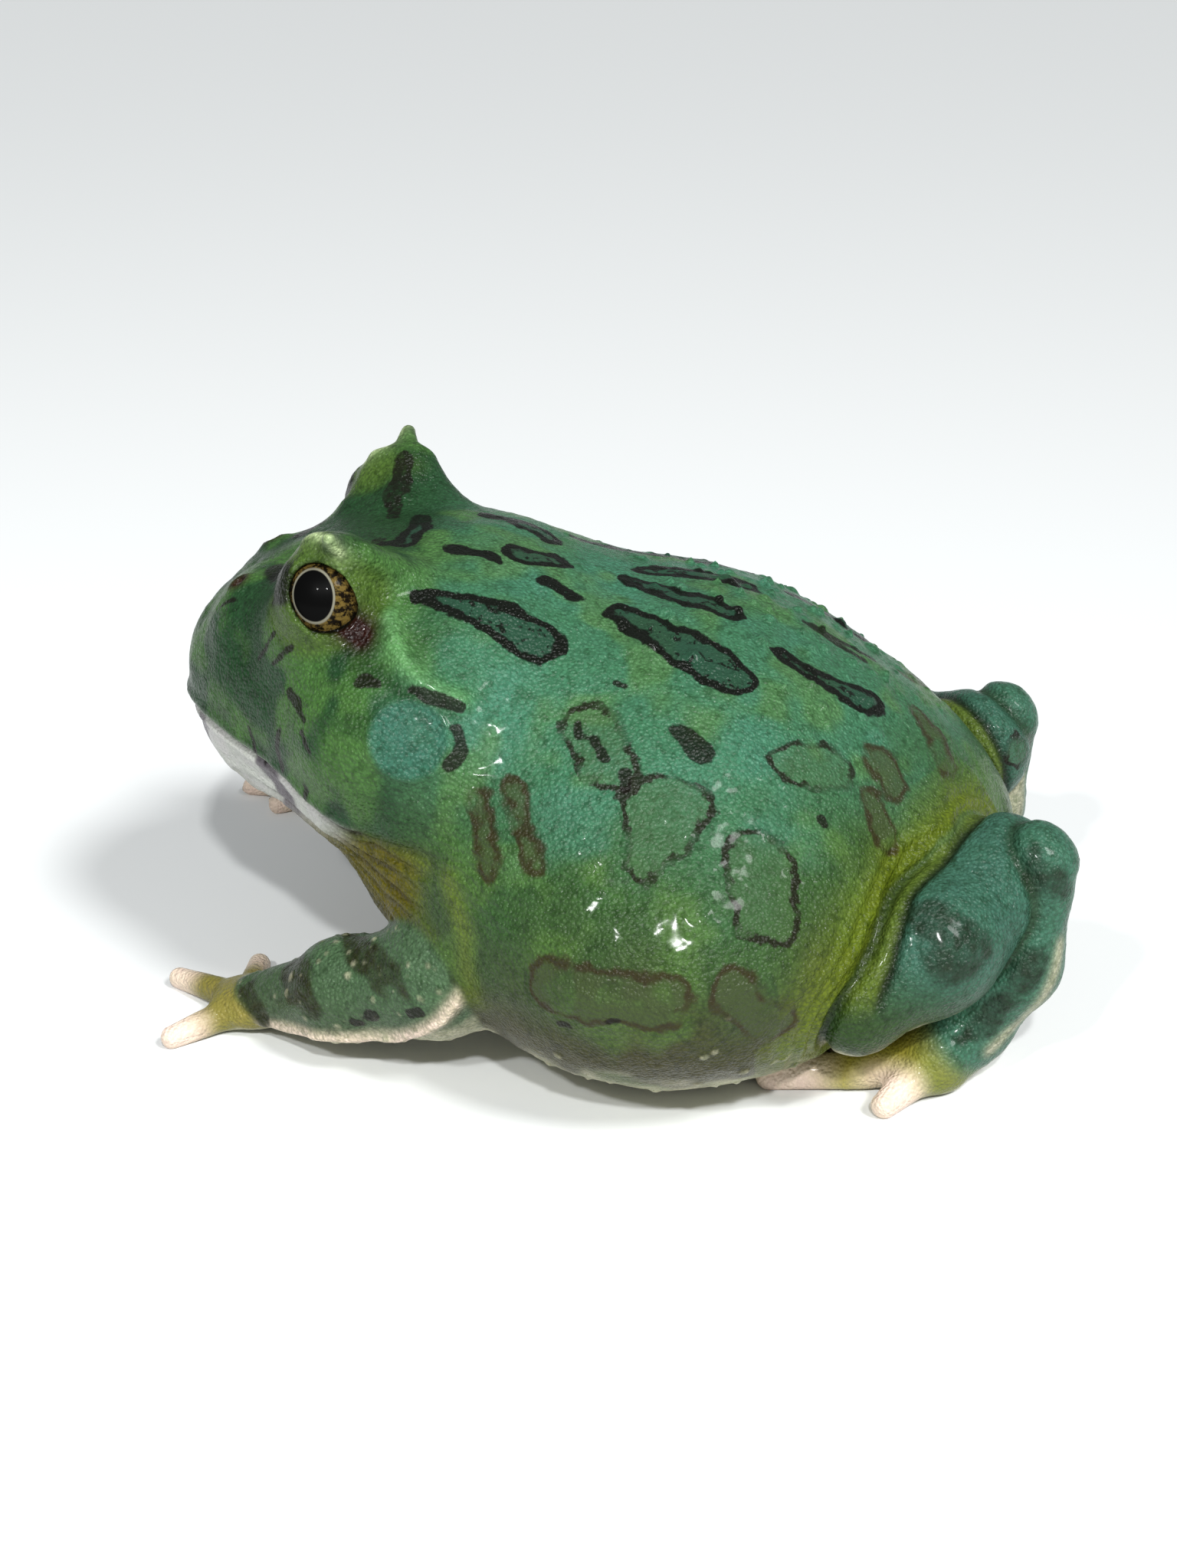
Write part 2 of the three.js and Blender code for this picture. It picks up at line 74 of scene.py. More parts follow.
# From the frog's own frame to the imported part's, found from the left eye
SHIFT = node_middle("eye_left") - np.array(EYE_PLACE)


# Forms: a ball is an ellipsoid, a limb is a tapered rod with round ends. The blend is the
# breadth of the fillet that joins a form to those before it.
def ball(at, size, blend=0.0):
    return {"at": np.array(at, float), "size": np.array(size, float), "blend": blend}


def limb(start, end, root, tip, blend=0.0):
    ends = {"start": np.array(start, float), "end": np.array(end, float)}
    return {**ends, "root": root, "tip": tip, "blend": blend}


def mirrored(form):
    other = dict(form)
    for key in ("at", "start", "end"):
        if key in form:
            other[key] = form[key] * np.array([-1.0, 1.0, 1.0])
    return other


def both_sides(*forms):
    return [copy for form in forms for copy in (form, mirrored(form))]


def distance_to(points, spot):
    return np.linalg.norm(points - spot, axis=1)


# Signed distance to one form, near enough for a ball
def form_distance(points, form):
    if "at" in form:
        scaled = (points - form["at"]) / form["size"]
        near = np.sqrt((scaled * scaled).sum(1))
        steep = scaled / form["size"]
        slope = np.sqrt((steep * steep).sum(1))
        return near * (near - 1.0) / np.maximum(slope, 1e-9)
    axis = form["end"] - form["start"]
    offset = points - form["start"]
    share = np.clip(offset @ axis / (axis @ axis), 0.0, 1.0)
    radius = form["root"] + (form["tip"] - form["root"]) * share
    rest = offset - share[:, None] * axis
    return np.sqrt((rest * rest).sum(1)) - radius


# Two distances joined with a round fillet, or cut out of each other
def blended(first, second, breadth):
    if breadth <= 0:
        return np.minimum(first, second)
    overlap = np.maximum(breadth - np.abs(first - second), 0.0) / breadth
    return np.minimum(first, second) - overlap * overlap * breadth / 4


def carved(first, second, breadth):
    return -blended(-first, second, breadth)


def joined(points, forms):
    distance = form_distance(points, forms[0])
    for form in forms[1:]:
        distance = blended(distance, form_distance(points, form), form["blend"])
    return distance


def form_box(form):
    if "at" in form:
        return form["at"] - form["size"], form["at"] + form["size"]
    reach = max(form["root"], form["tip"])
    ends = np.array([form["start"], form["end"]])
    return ends.min(0) - reach, ends.max(0) + reach


# The trunk: belly, back, nape, rump and chest
TRUNK = [
    ball((0, 8.5, BELLY_LEVEL), (BODY_HALF_WIDTH, BELLY_LENGTH / 2, 23)),
    ball((0, 0, 27), (33, 33, BACK_HEIGHT - 27), 10),
    ball((0, -14.5, 36), (25.5, 15, 17), 9),
    ball((0, 27, 17), (21, 20.5, 17.5), 9),
    ball((0, -6, 16), (21, 13, 13.5), 7),
]
SKULL = [
    ball((0, -22, 37.5), (HEAD_HALF_WIDTH, 16.5, 15.5)),
    ball((0, -32, 37.5), (16.5, -32 - SNOUT_Y, 13.2), 9),
    *both_sides(
        ball((13, -27.6, 47.2), (8.5, 8.6, 5.8), 5),
        ball((7, -38.3, 44.8), (5, 5, 4.3), 4),
    ),
]
JAW = [
    ball((0, -21, 30.3), (26, 14.8, 9.2)),
    ball((0, -29.8, 30.3), (14.8, 17.4, 8.6), 8),
]
HORN = [
    limb((11.5, -26.3, 52.4), (17.2, -26.8, 56.6), 3.6, 1.9),
    limb((17.2, -26.8, 56.6), HORN_TIP, 1.9, 0.75, 1.5),
    limb((12.5, -30.8, 52.0), (16.8, -30.0, 56.9), 2.5, 1.2, 3),
    limb((12.5, -21.4, 51.4), (17.8, -24.4, 56.2), 2.9, 1.4, 3),
]

# The arms, with four fingers each
FINGERTIP_RADIUS = 1.3
FINGER_BLEND = 1.2


def finger(root_place, tip_place, root):
    return limb(root_place, tip_place, root, FINGERTIP_RADIUS, FINGER_BLEND)


LEFT_ARM = {
    "upper_arm": [limb((20, -11, 20), (28.5, -14.5, 13.5), 8, 6.6)],
    "forearm": [
        limb((28.2, -16, 12.2), (25.2, -27, 8.2), 6.8, 5.3, 4),
        limb((25.2, -27, 8.2), (20.8, -38, 4.1), 5.3, 2.8, 3),
    ],
    "hand": [
        ball((19.6, -39.6, 2.6), (4.6, 4.6, 2.6), 3),
        finger((18.4, -41, 2.2), (12.6, -50.2, 1.1), 1.8),
        finger((21.2, -41.3, 2.1), (26, -47.2, 1.1), 1.8),
        finger((17, -40.6, 2.0), (8.4, -41.6, 1.1), 1.7),
        finger((17, -39, 2.0), (11.8, -35.8, 1.1), 1.7),
    ],
}
RIGHT_ARM = {
    "upper_arm": [limb((-20, -11, 21), (-33, -18, 13), 8, 7)],
    "forearm": [
        limb((-33, -18.5, 12), (-37, -29, 9), 7, 6, 4),
        limb((-37, -29, 9), (-40.5, -42, 4.4), 5.9, 3.3, 3),
    ],
    "hand": [
        ball((-41.2, -43.4, 2.6), (4.6, 4.8, 2.6), 3),
        finger((-41, -45, 2.2), (-42.2, -55.8, 1.1), 1.8),
        finger((-42.8, -45, 2.1), (-49, -51.4, 1.1), 1.8),
        finger((-40, -44.5, 2.0), (-36.5, -50.6, 1.1), 1.7),
        finger((-39.5, -42.6, 2.0), (-33.8, -43.6, 1.1), 1.7),
    ],
}


# A hind leg folded beside the rump, heel high, toes forward along the floor
def hind_leg(side, forward, lift):
    def place(x, y, z, raised=0.0):
        return (side * x, y - forward, z + raised)

    return {
        "thigh": [limb(place(14, 35, 20), place(25, 30.5, 14.5), 9, 5.5)],
        "shank": [
            limb(place(31, 29.2, 14), place(26.5, 36.8, 18.6), 5.8, 6.8),
            limb(place(26.5, 36.8, 18.6), place(16.5, 44.5, 22, lift), 6.8, 7.1, 3),
        ],
        "foot": [
            limb(place(20, 42.2, 6.4), place(20.5, 46.6, 14), 4.6, 4.4),
            limb(place(20.5, 46.6, 14), place(18.5, 47.8, 25, lift), 4.4, 4.6, 3),
            limb(place(20, 42.2, 6.4), place(24.5, 39, 4.2), 4.6, 3.8, 3),
            limb(place(24.5, 38.5, 3.2), place(31, 33, 1.3), 2.9, 1.5, 2),
            limb(place(24, 38.5, 3.0), place(26.6, 20.5, 1.2), 2.9, 1.5, 2),
            limb(place(22, 38.5, 2.4), place(20.8, 28, 1.1), 2.3, 1.4, 1.5),
            limb(place(20.5, 39, 2.3), place(15.8, 31.5, 1.1), 2.1, 1.4, 1.5),
            limb(place(18, 41, 2.2), place(11.5, 36, 1.1), 2.0, 1.3, 1.5),
        ],
    }


LEFT_LEG = hind_leg(1, 0, 0)
RIGHT_LEG = hind_leg(-1, RIGHT_LEG_FORWARD, RIGHT_HEEL_LIFT)

# How broad a fillet joins each part to those before it. A narrow one leaves a fold.
PARTS = [("trunk", TRUNK, 0.0), ("skull", SKULL, 7.0), ("jaw", JAW, 3.0)]
for side, leg, arm in (("left", LEFT_LEG, LEFT_ARM), ("right", RIGHT_LEG, RIGHT_ARM)):
    PARTS += [
        ("thigh_" + side, leg["thigh"], 4.0),
        ("shank_" + side, leg["shank"], 0.8),
        ("upper_arm_" + side, arm["upper_arm"], 3.0),
        ("forearm_" + side, arm["forearm"], 1.5),
        ("hand_" + side, arm["hand"], 2.0),
        ("foot_" + side, leg["foot"], 0.8),
    ]
PARTS += [("horn_left", HORN, 2.5), ("horn_right", [mirrored(form) for form in HORN], 2.5)]
PART_NAMES = [name for name, forms, blend in PARTS]


def part_box(forms, spare):
    lows, highs = zip(*map(form_box, forms))
    return np.min(lows, 0) - spare, np.max(highs, 0) + spare


# The lids: a thin shell over the eyeball with an oval opening that leans forward at its top
LID_THICKNESS = 0.8
LID_HALF_WIDTH = 3.2
LID_HALF_HEIGHT = 4.3
LID_BACKWARD = 0.55
LID_DOWNWARD = 0.78
LID_EDGE = 0.5
LID_BLEND = 1.2
LID_REACH = 9.0
LID_LEAN = math.radians(30)

# The pupil: an upright oval that leans less than the lids
PUPIL_HALF_WIDTH = 2.1
PUPIL_HALF_HEIGHT = 2.65
PUPIL_LEAN = math.radians(10)


def eye_middle(side):
    return np.array(EYE_PLACE) * (side, 1, 1)


# Backward, upward and outward from the middle of the eye on one side
def eye_axes(side, lean):
    look = np.array(EYE_LOOK) * (side, 1, 1)
    look = look / np.linalg.norm(look)
    along = np.array([0.0, 1.0, 0.0]) - look * look[1]
    along /= np.linalg.norm(along)
    upward = np.cross(look, along) * side
    return (
        along * math.cos(lean) + upward * math.sin(lean),
        upward * math.cos(lean) - along * math.sin(lean),
        look,
    )


def lid_distance(points, side):
    along, upward, look = eye_axes(side, LID_LEAN)
    offset = points - eye_middle(side)
    shell = distance_to(points, eye_middle(side)) - EYE_RADIUS - LID_THICKNESS
    u = (offset @ along - LID_BACKWARD) / LID_HALF_WIDTH
    v = (offset @ upward + LID_DOWNWARD) / LID_HALF_HEIGHT
    opening = (np.hypot(u, v) - 1) * LID_HALF_WIDTH
    opening = np.maximum(opening, -offset @ look)
    return carved(shell, opening, LID_EDGE)


# Nostrils: a pit with a low rim on the ridge of the snout. The list gets their places and
# outward directions once the skin is known.
NOSTRIL_AIM = (7.6, -41.0, 49.6)
NOSTRIL_REACH = 5.0
RIM_SUNK = 1.0
RIM_RADIUS = 1.6
RIM_BLEND = 1.4
PIT_RAISED = 0.35
PIT_RADIUS = 0.85
PIT_EDGE = 0.4
NOSTRILS = []

# A distance beyond all, and the margin round a part that its fillet needs
FAR_AWAY = 1e3
PART_MARGIN = 2.5


# Signed distance to the whole skin, negative inside
def skin_distance(points, parts_too=False):
    distance = np.full(len(points), FAR_AWAY)
    rows = []
    for name, forms, blend in PARTS:
        low, high = part_box(forms, blend + PART_MARGIN)
        near = np.all((points > low) & (points < high), axis=1)
        part = np.full(len(points), FAR_AWAY)
        if near.any():
            part[near] = joined(points[near], forms)
            distance[near] = blended(distance[near], part[near], blend)
        rows.append(part)
    for side in (1, -1):
        near = distance_to(points, eye_middle(side)) < LID_REACH
        if near.any():
            distance[near] = blended(distance[near], lid_distance(points[near], side), LID_BLEND)
    for middle, outward in NOSTRILS:
        near = distance_to(points, middle) < NOSTRIL_REACH
        if near.any():
            rim = distance_to(points[near], middle - outward * RIM_SUNK) - RIM_RADIUS
            pit = distance_to(points[near], middle + outward * PIT_RAISED) - PIT_RADIUS
            distance[near] = carved(blended(distance[near], rim, RIM_BLEND), pit, PIT_EDGE)
    distance = np.maximum(distance, -points[:, 2])
    return (distance, np.array(rows)) if parts_too else distance


# The outward direction of the distance, and how steep it is
def skin_slope(points):
    step = 0.15
    slope = np.zeros_like(points)
    for corner in ((1, -1, -1), (-1, -1, 1), (-1, 1, -1), (1, 1, 1)):
        corner = np.array(corner, float)
        slope += corner * skin_distance(points + corner * step)[:, None]
    slope /= 4 * step
    length = np.linalg.norm(slope, axis=1)
    return slope / np.maximum(length, 1e-6)[:, None], length


# The grid's corners, and the layers filled at a time
GRID_LOW = np.array([-55.0, -62.0, -1.5])
GRID_HIGH = np.array([50.0, 58.0, 63.5])
SLAB = 24


# A surface net over a regular grid: one vertex in each cell that the skin crosses
def surface_net():
    counts = np.ceil((GRID_HIGH - GRID_LOW) / CELL).astype(int) + 1
    axes = [GRID_LOW[i] + CELL * np.arange(counts[i]) for i in range(3)]
    values = np.zeros(counts, np.float32)
    for index in range(0, counts[0], SLAB):
        slab = slice(index, min(index + SLAB, counts[0]))
        grid = np.stack(np.meshgrid(axes[0][slab], axes[1], axes[2], indexing="ij"), -1)
        shape = grid.shape[:3]
        values[slab] = skin_distance(grid.reshape(-1, 3)).reshape(shape)
    inside = values < 0
    corners = [(i, j, k) for i in (0, 1) for j in (0, 1) for k in (0, 1)]

    def cut(array, corner):
        i, j, k = corner
        nx, ny, nz = counts - 1
        return array[i:i + nx, j:j + ny, k:k + nz]

    total = sum(cut(inside, corner).astype(np.int8) for corner in corners)
    active = (total > 0) & (total < 8)
    cells = np.argwhere(active)
    number = np.full(active.shape, -1, np.int64)
    number[active] = np.arange(len(cells))
    place = np.zeros((len(cells), 3))
    crossings = np.zeros(len(cells))
    for first in corners:
        for axis in range(3):
            if first[axis]:
                continue
            second = list(first)
            second[axis] = 1
            a = cut(values, first)[active].astype(float)
            b = cut(values, tuple(second))[active].astype(float)
            crossed = (a < 0) != (b < 0)
            share = np.where(crossed, a / np.where(crossed, a - b, 1.0), 0.0)
            spot = np.array(first, float) + share[:, None] * (np.array(second) - np.array(first))
            place += spot * crossed[:, None]
            crossings += crossed
    place = GRID_LOW + CELL * (cells + place / crossings[:, None])
    quads = []
    for axis in range(3):
        u, v = (axis + 1) % 3, (axis + 2) % 3
        ahead = [slice(None)] * 3
        behind = [slice(None)] * 3
        ahead[axis] = slice(1, None)
        behind[axis] = slice(None, -1)
        a = inside[tuple(behind)]
        b = inside[tuple(ahead)]
        for flip, edge in ((False, a & ~b), (True, ~a & b)):
            spots = np.argwhere(edge)
            spots = spots[(spots[:, u] > 0) & (spots[:, v] > 0)]
            around = []
            for du, dv in ((1, 1), (0, 1), (0, 0), (1, 0)):
                cell = spots.copy()
                cell[:, u] -= du
                cell[:, v] -= dv
                around.append(number[cell[:, 0], cell[:, 1], cell[:, 2]])
            ring = np.stack(around, 1)
            quads.append(ring[:, ::-1] if flip else ring)
    return place, np.concatenate(quads)


# Each four-sided face becomes four, with a new vertex on each edge and in each middle
def divided(place, quads):
    edges = np.stack([quads, np.roll(quads, -1, axis=1)], -1).reshape(-1, 2)
    edges.sort(axis=1)
    keys, inverse = np.unique(edges[:, 0] * len(place) + edges[:, 1], return_inverse=True)
    ends = np.stack([keys // len(place), keys % len(place)], 1)
    on_edge = len(place) + inverse.reshape(-1, 4)
    in_middle = len(place) + len(keys) + np.arange(len(quads))
    all_places = np.concatenate([place, place[ends].mean(1), place[quads].mean(1)])
    faces = [
        np.stack([quads[:, k], on_edge[:, k], in_middle, on_edge[:, k - 1]], 1) for k in range(4)
    ]
    return all_places, np.concatenate(faces)


# Places moved onto the skin, at most half a millimetre in each round
def settled(place, rounds=8):
    for _ in range(rounds):
        normal, slope = skin_slope(place)
        step = skin_distance(place) / np.maximum(slope, 0.5)
        place = place - normal * np.clip(step, -0.5, 0.5)[:, None]
        place[:, 2] = np.maximum(place[:, 2], 0.0)
    return place


nostril_places = settled(np.array([np.array(NOSTRIL_AIM) * (side, 1, 1) for side in (1, -1)]))
NOSTRILS = list(zip(nostril_places, skin_slope(nostril_places)[0]))


# Repeatable values from 0 to 1 for lattice places, made by multiplying with large numbers and
# folding the bits over
MIXERS = (73856093, 19349663, 83492791)
SEED_MIXER = 2654435761
LOW_BITS = 0xFFFFFFFF
KEPT_BITS = 0xFFFFFF


def lattice(cell, seed):
    mixed = cell[:, 0] * MIXERS[0] ^ cell[:, 1] * MIXERS[1] ^ cell[:, 2] * MIXERS[2]
    mixed = (mixed ^ seed * SEED_MIXER) & LOW_BITS
    mixed = (mixed ^ (mixed >> 13)) * 1274126177 & LOW_BITS
    mixed = (mixed ^ (mixed >> 16)) * 2246822519 & LOW_BITS
    return ((mixed ^ (mixed >> 15)) & KEPT_BITS) / float(KEPT_BITS)


# Smooth noise from -1 to 1 whose patches have this breadth in millimetres
def noise(points, breadth, seed):
    scaled = points / breadth
    base = np.floor(scaled).astype(np.int64)
    share = scaled - base
    share = share * share * (3 - 2 * share)
    total = np.zeros(len(points))
    for i in (0, 1):
        for j in (0, 1):
            for k in (0, 1):
                weight = np.abs(1 - np.array((i, j, k)) - share).prod(1)
                total += weight * lattice(base + (i, j, k), seed)
    return total * 2 - 1


# Low round bumps, from 0 beside them to 1 on top, 0.55 to 1.3 times the radius in breadth. The
# share says how many of the cells hold one.
def bumps(points, spacing, radius, share, seed):
    base = np.floor(points / spacing).astype(np.int64)
    height = np.zeros(len(points))
    for i in (-1, 0, 1):
        for j in (-1, 0, 1):
            for k in (-1, 0, 1):
                cell = base + (i, j, k)
                middle = np.stack([lattice(cell, seed + step) for step in range(3)], 1)
                middle = (cell + middle) * spacing
                size = radius * (0.55 + 0.75 * lattice(cell, seed + 3))
                away = ((points - middle) ** 2).sum(1) / (size * size)
                bump = np.maximum(1 - away, 0.0) ** 1.5 * (lattice(cell, seed + 4) < share)
                height = np.maximum(height, bump)
    return height


# From 0 at the start to 1 at the end, level at both
def smooth(value, start, end):
    share = np.clip((value - start) / (end - start), 0.0, 1.0)
    return share * share * (3 - 2 * share)


# From 1 in the middle down to 0 on both sides
def bell(value, width):
    return np.exp(-(value / width) ** 2)


# Distance to a bent line through a few places, in millimetres
def line_distance(points, places):
    best = np.full(len(points), FAR_AWAY)
    for start, end in zip(places[:-1], places[1:]):
        best = np.minimum(best, form_distance(points, limb(start, end, 0.0, 0.0)))
    return best


# The line of the mouth falls ever more steeply from the snout to its corner
MOUTH_BEND = 1.6


def mouth_height(y):
    share = np.clip((y - SNOUT_Y) / (MOUTH_CORNER_Y - SNOUT_Y), 0.0, 1.0)
    return MOUTH_FRONT_Z - MOUTH_CORNER_DROP * share ** MOUTH_BEND


coarse, coarse_quads = surface_net()
place, quads = divided(settled(coarse, rounds=1), coarse_quads)
place = settled(place, rounds=2)
normal = skin_slope(place)[0]
part_rows = skin_distance(place, True)[1]
x, y, z = place.T

# The same places with the right side folded over the left
side_x = np.abs(x)
left_place = np.stack([side_x, y, z], 1)

# Half the breadth over which one part's colour passes into the next
PART_SEAM = 0.7


# Distance to the nearest part whose name starts so, or to the nearest of the others
def part_distance(*starts, others=False):
    return np.min([
        row for row, name in zip(part_rows, PART_NAMES) if name.startswith(starts) != others
    ], 0)


def part_weight(*starts):
    inside = part_distance(*starts, others=True) - part_distance(*starts)
    return smooth(inside, -PART_SEAM, PART_SEAM)


# How far each place is from where two parts meet
def junction(first, second):
    return np.hypot(part_distance(first), part_distance(second))


# Round ripples from -1 to 1 across a phase in millimetres
def ripples(phase, spacing):
    return np.sin(phase * 2 * math.pi / spacing)


arms = part_weight("upper_arm", "forearm")
hands = part_weight("hand")
shanks = part_weight("shank")
feet = part_weight("foot")
limbs = np.clip(arms + hands + shanks + feet, 0, 1)
head = smooth(-y, 11, 19) * smooth(z, 24, 32) * (1 - limbs)
upper = smooth(normal[:, 2], -0.5, 0.2)

# The line of the mouth with its lips, and the fold behind its corner
CORNER_FOLD_DEPTH = 0.35
MOUTH_DEPTH = 0.55
MOUTH_BREADTH = 0.38
UPPER_LIP_RISE = 1.15
LOWER_LIP_DROP = 1.0
across = z - mouth_height(y)
mouth_run = (1 - smooth(y, -20, -14)) * (1 - limbs) * (z > 20)
open_run = 1 - smooth(y, -27, -23)
relief = np.zeros(len(place))
relief -= mouth_run * (CORNER_FOLD_DEPTH + MOUTH_DEPTH * open_run) * bell(across, MOUTH_BREADTH)
relief += mouth_run * open_run * 0.5 * bell(across - UPPER_LIP_RISE, 0.75)
relief += mouth_run * open_run * 0.35 * bell(across + LOWER_LIP_DROP, 0.6)

# The eardrum: a disc with a low rim
EARDRUM_RIM_HEIGHT = 0.22
EARDRUM_DEPTH = 0.12
ear_distance = distance_to(left_place, EARDRUM_PLACE)
relief += EARDRUM_RIM_HEIGHT * bell(ear_distance - EARDRUM_RADIUS, 0.45)
relief -= EARDRUM_DEPTH * (1 - smooth(ear_distance, EARDRUM_RADIUS - 1.2, EARDRUM_RADIUS - 0.2))

# A soft ridge runs from behind each eye down over the eardrum, with a dark line below it
RIDGE_HEIGHT = 0.9
RIDGE_BREADTH = 1.3
BROW_RIDGE = [
    (19.9, -21.7, 50.6), (22.7, -20.3, 48.3), (24.9, -18.2, 46.3), (25.9, -15.3, 44.7),
    (26, -13, 43.9),
]
UNDER_BROW = [
    (24.3, -23.8, 46.7), (25.4, -21.1, 45.9), (26.5, -18.5, 44.8), (27.1, -16.1, 43.5),
    (27.1, -13.7, 42.7),
]
brow = line_distance(left_place, BROW_RIDGE)
relief += RIDGE_HEIGHT * bell(brow, RIDGE_BREADTH)

# Loose skin: folds at the throat and behind the jaws
THROAT_FOLD_HEIGHT = 0.28
THROAT_FOLD_SPACING = 2.3
CHEEK_FOLD_HEIGHT = 0.07
CHEEK_FOLD_SPACING = 1.5
sway = noise(place, 7.0, 11) * 1.6 + noise(place, 2.5, 12) * 0.5
throat = smooth(-y + 1.5 * sway, 14, 21) * (1 - smooth(z, 26, 30)) * smooth(z, 9, 14) * (1 - limbs)
relief += throat * THROAT_FOLD_HEIGHT * ripples(z + 0.25 * side_x + sway, THROAT_FOLD_SPACING)
cheek_folds = bell(y + 11, 7) * bell(z - 30, 8) * (1 - limbs)
relief += cheek_folds * CHEEK_FOLD_HEIGHT * ripples(z + 0.15 * y + sway, CHEEK_FOLD_SPACING)

# Deep creases where the folded limbs meet the trunk, and folds in the groin beside them
LEG_CREASE_DEPTH = 0.9
FOOT_CREASE_DEPTH = 0.6
ARM_CREASE_DEPTH = 0.4
GROIN_FOLD_HEIGHT = 0.2
GROIN_FOLD_SPACING = 1.9
leg_crease = junction("trunk", "shank")
foot_crease = junction("shank", "foot")
arm_crease = junction("trunk", "upper_arm")
relief -= (
    LEG_CREASE_DEPTH * bell(leg_crease, 0.7)
    + FOOT_CREASE_DEPTH * bell(foot_crease, 0.6)
    + ARM_CREASE_DEPTH * bell(arm_crease, 0.6)
)
groin_skin = bell(leg_crease, 4.5 + 0.15 * np.clip(30 - z, 0, 20)) * (1 - shanks) * (1 - feet)
relief += groin_skin * GROIN_FOLD_HEIGHT * ripples(leg_crease + 0.6 * sway, GROIN_FOLD_SPACING)

# A loose fold of skin lies along the front of the shank, with a second crease behind it
FOLD_BREADTH = 2.2
SECOND_CREASE_DEPTH = 0.5
fold = part_distance("trunk") + 0.2 * sway - 0.12 * np.clip(38 - y, 0, 12)
fold_run = shanks * smooth(y, 24, 27) * smooth(z, 14, 18)
second_crease = 1 - fold_run * bell(fold - FOLD_BREADTH, 0.6)
relief -= SECOND_CREASE_DEPTH * (1 - second_crease)
fold_skin = fold_run * (1 - smooth(fold, FOLD_BREADTH - 0.6, FOLD_BREADTH + 0.4))

# The pale, fleshy hem along the lower edge of each forearm stands out a little
HEM_HEIGHT = 0.8
HEM_BREADTH = 0.8
HEM_DROP = np.array([0, 0, 0.9])
NEAR_HEM = [
    (23.8, -41, 3.4), (24.3, -38.2, 2.9), (26.7, -33.6, 3.8), (29.5, -30.3, 5.5), (31, -26.7, 6.2),
    (31.1, -24.1, 6.2), (32.3, -20.1, 7.2), (34.5, -17, 9.7), (35.3, -14.3, 12),
    (35.6, -11.5, 15.9),
]
FAR_HEM = [
    (-43.3, -42, 2.8), (-42.9, -35, 4.3), (-42, -29, 6), (-40.4, -23.6, 7.2), (-38.6, -18.5, 8.5),
]
hem = np.min([
    line_distance(place, settled(np.array(run) - HEM_DROP)) for run in (NEAR_HEM, FAR_HEM)
], 0)
relief += arms * HEM_HEIGHT * bell(hem, HEM_BREADTH)

# Soft unevenness all over, least on the hands
soft = noise(place, 5.0, 21) * 0.22 + noise(place, 2.2, 22) * 0.10 + noise(place, 1.0, 23) * 0.04
relief += soft * (1 - 0.6 * hands)

# Warts along the back, tubercles and grain all over, pustules on the low flank and arms
WART_HEIGHT = 0.62
TUBERCLE_HEIGHT = 0.16
PUSTULE_HEIGHT = 0.28
ARM_PUSTULE_HEIGHT = 0.15
GRAIN_HEIGHT = 0.04
back = smooth(normal[:, 2], 0.2, 0.7) * smooth(y, -14, 0) * (1 - limbs)
along_back = smooth(y, -2, 8) * (1 - smooth(y, 36, 44))
warty = along_back * (1 - smooth(side_x, 13, 22)) * smooth(z, 34, 40)
warts = bumps(place, spacing=2.4, radius=0.95, share=0.75, seed=31)
relief += warts * WART_HEIGHT * warty
tubercles = bumps(place, spacing=2.2, radius=0.75, share=0.45, seed=41)
relief += tubercles * TUBERCLE_HEIGHT * (0.35 + 0.65 * back) * (1 - hands) * upper
low_flank = (1 - smooth(z, 17, 23)) * smooth(side_x, 20, 30) * (1 - shanks) * (1 - feet)
pustules = bumps(place, spacing=2.7, radius=0.7, share=0.5, seed=51)
pustules *= np.clip(low_flank + arms, 0, 1)
relief += pustules * PUSTULE_HEIGHT
arm_pustules = bumps(place, spacing=1.5, radius=0.5, share=0.7, seed=55) * arms
relief += arm_pustules * ARM_PUSTULE_HEIGHT
grains = bumps(place, spacing=1.15, radius=0.5, share=0.75, seed=61)
relief += grains * GRAIN_HEIGHT * (1 - hands)

# The relief dies out at the floor, so that the frog still rests flat on it
relief *= smooth(z, 0.0, 0.8)
skin_place = place + normal * relief[:, None]
skin_place[:, 2] = np.maximum(skin_place[:, 2], 0.0)


# Markings: each is a chain of places with their radius, laid on the skin as rods
def marks(*chains):
    return [
        limb(start[:3], end[:3], start[3], end[3])
        for chain in chains for start, end in zip(chain[:-1], chain[1:])
    ]


# Large dark blotches with black edges
BLOTCHES = marks(
    [(16.4, -18.6, 51.8, 0.8), (16.6, -13.5, 50.6, 1.9), (17.4, -6.2, 47.4, 3.0)],
    [(10.2, 1.6, 48.3, 1.3), (13.6, 8.5, 46.6, 2.9), (16.6, 14.2, 43.8, 3.1)],
    [(4.5, -9.6, 52.4, 1.7), (3.1, -6.4, 51.4, 1.7)],
    [(-2.4, 3.4, 48.9, 1.4), (-5.1, 15.2, 46.6, 1.7)],
    [(10.6, 25.4, 41.9, 1.5), (9.9, 29.2, 39.8, 2.1)],
    [(-10, 20.8, 44.3, 1.1), (-11, 26.5, 41.8, 1.1)],
    [(-6.9, -15.5, 54, 0.9), (-6.7, -11, 53.1, 0.9)],
    [(-8.5, -5, 50.5, 0.9), (-9, -1.5, 49.8, 0.9)],
)
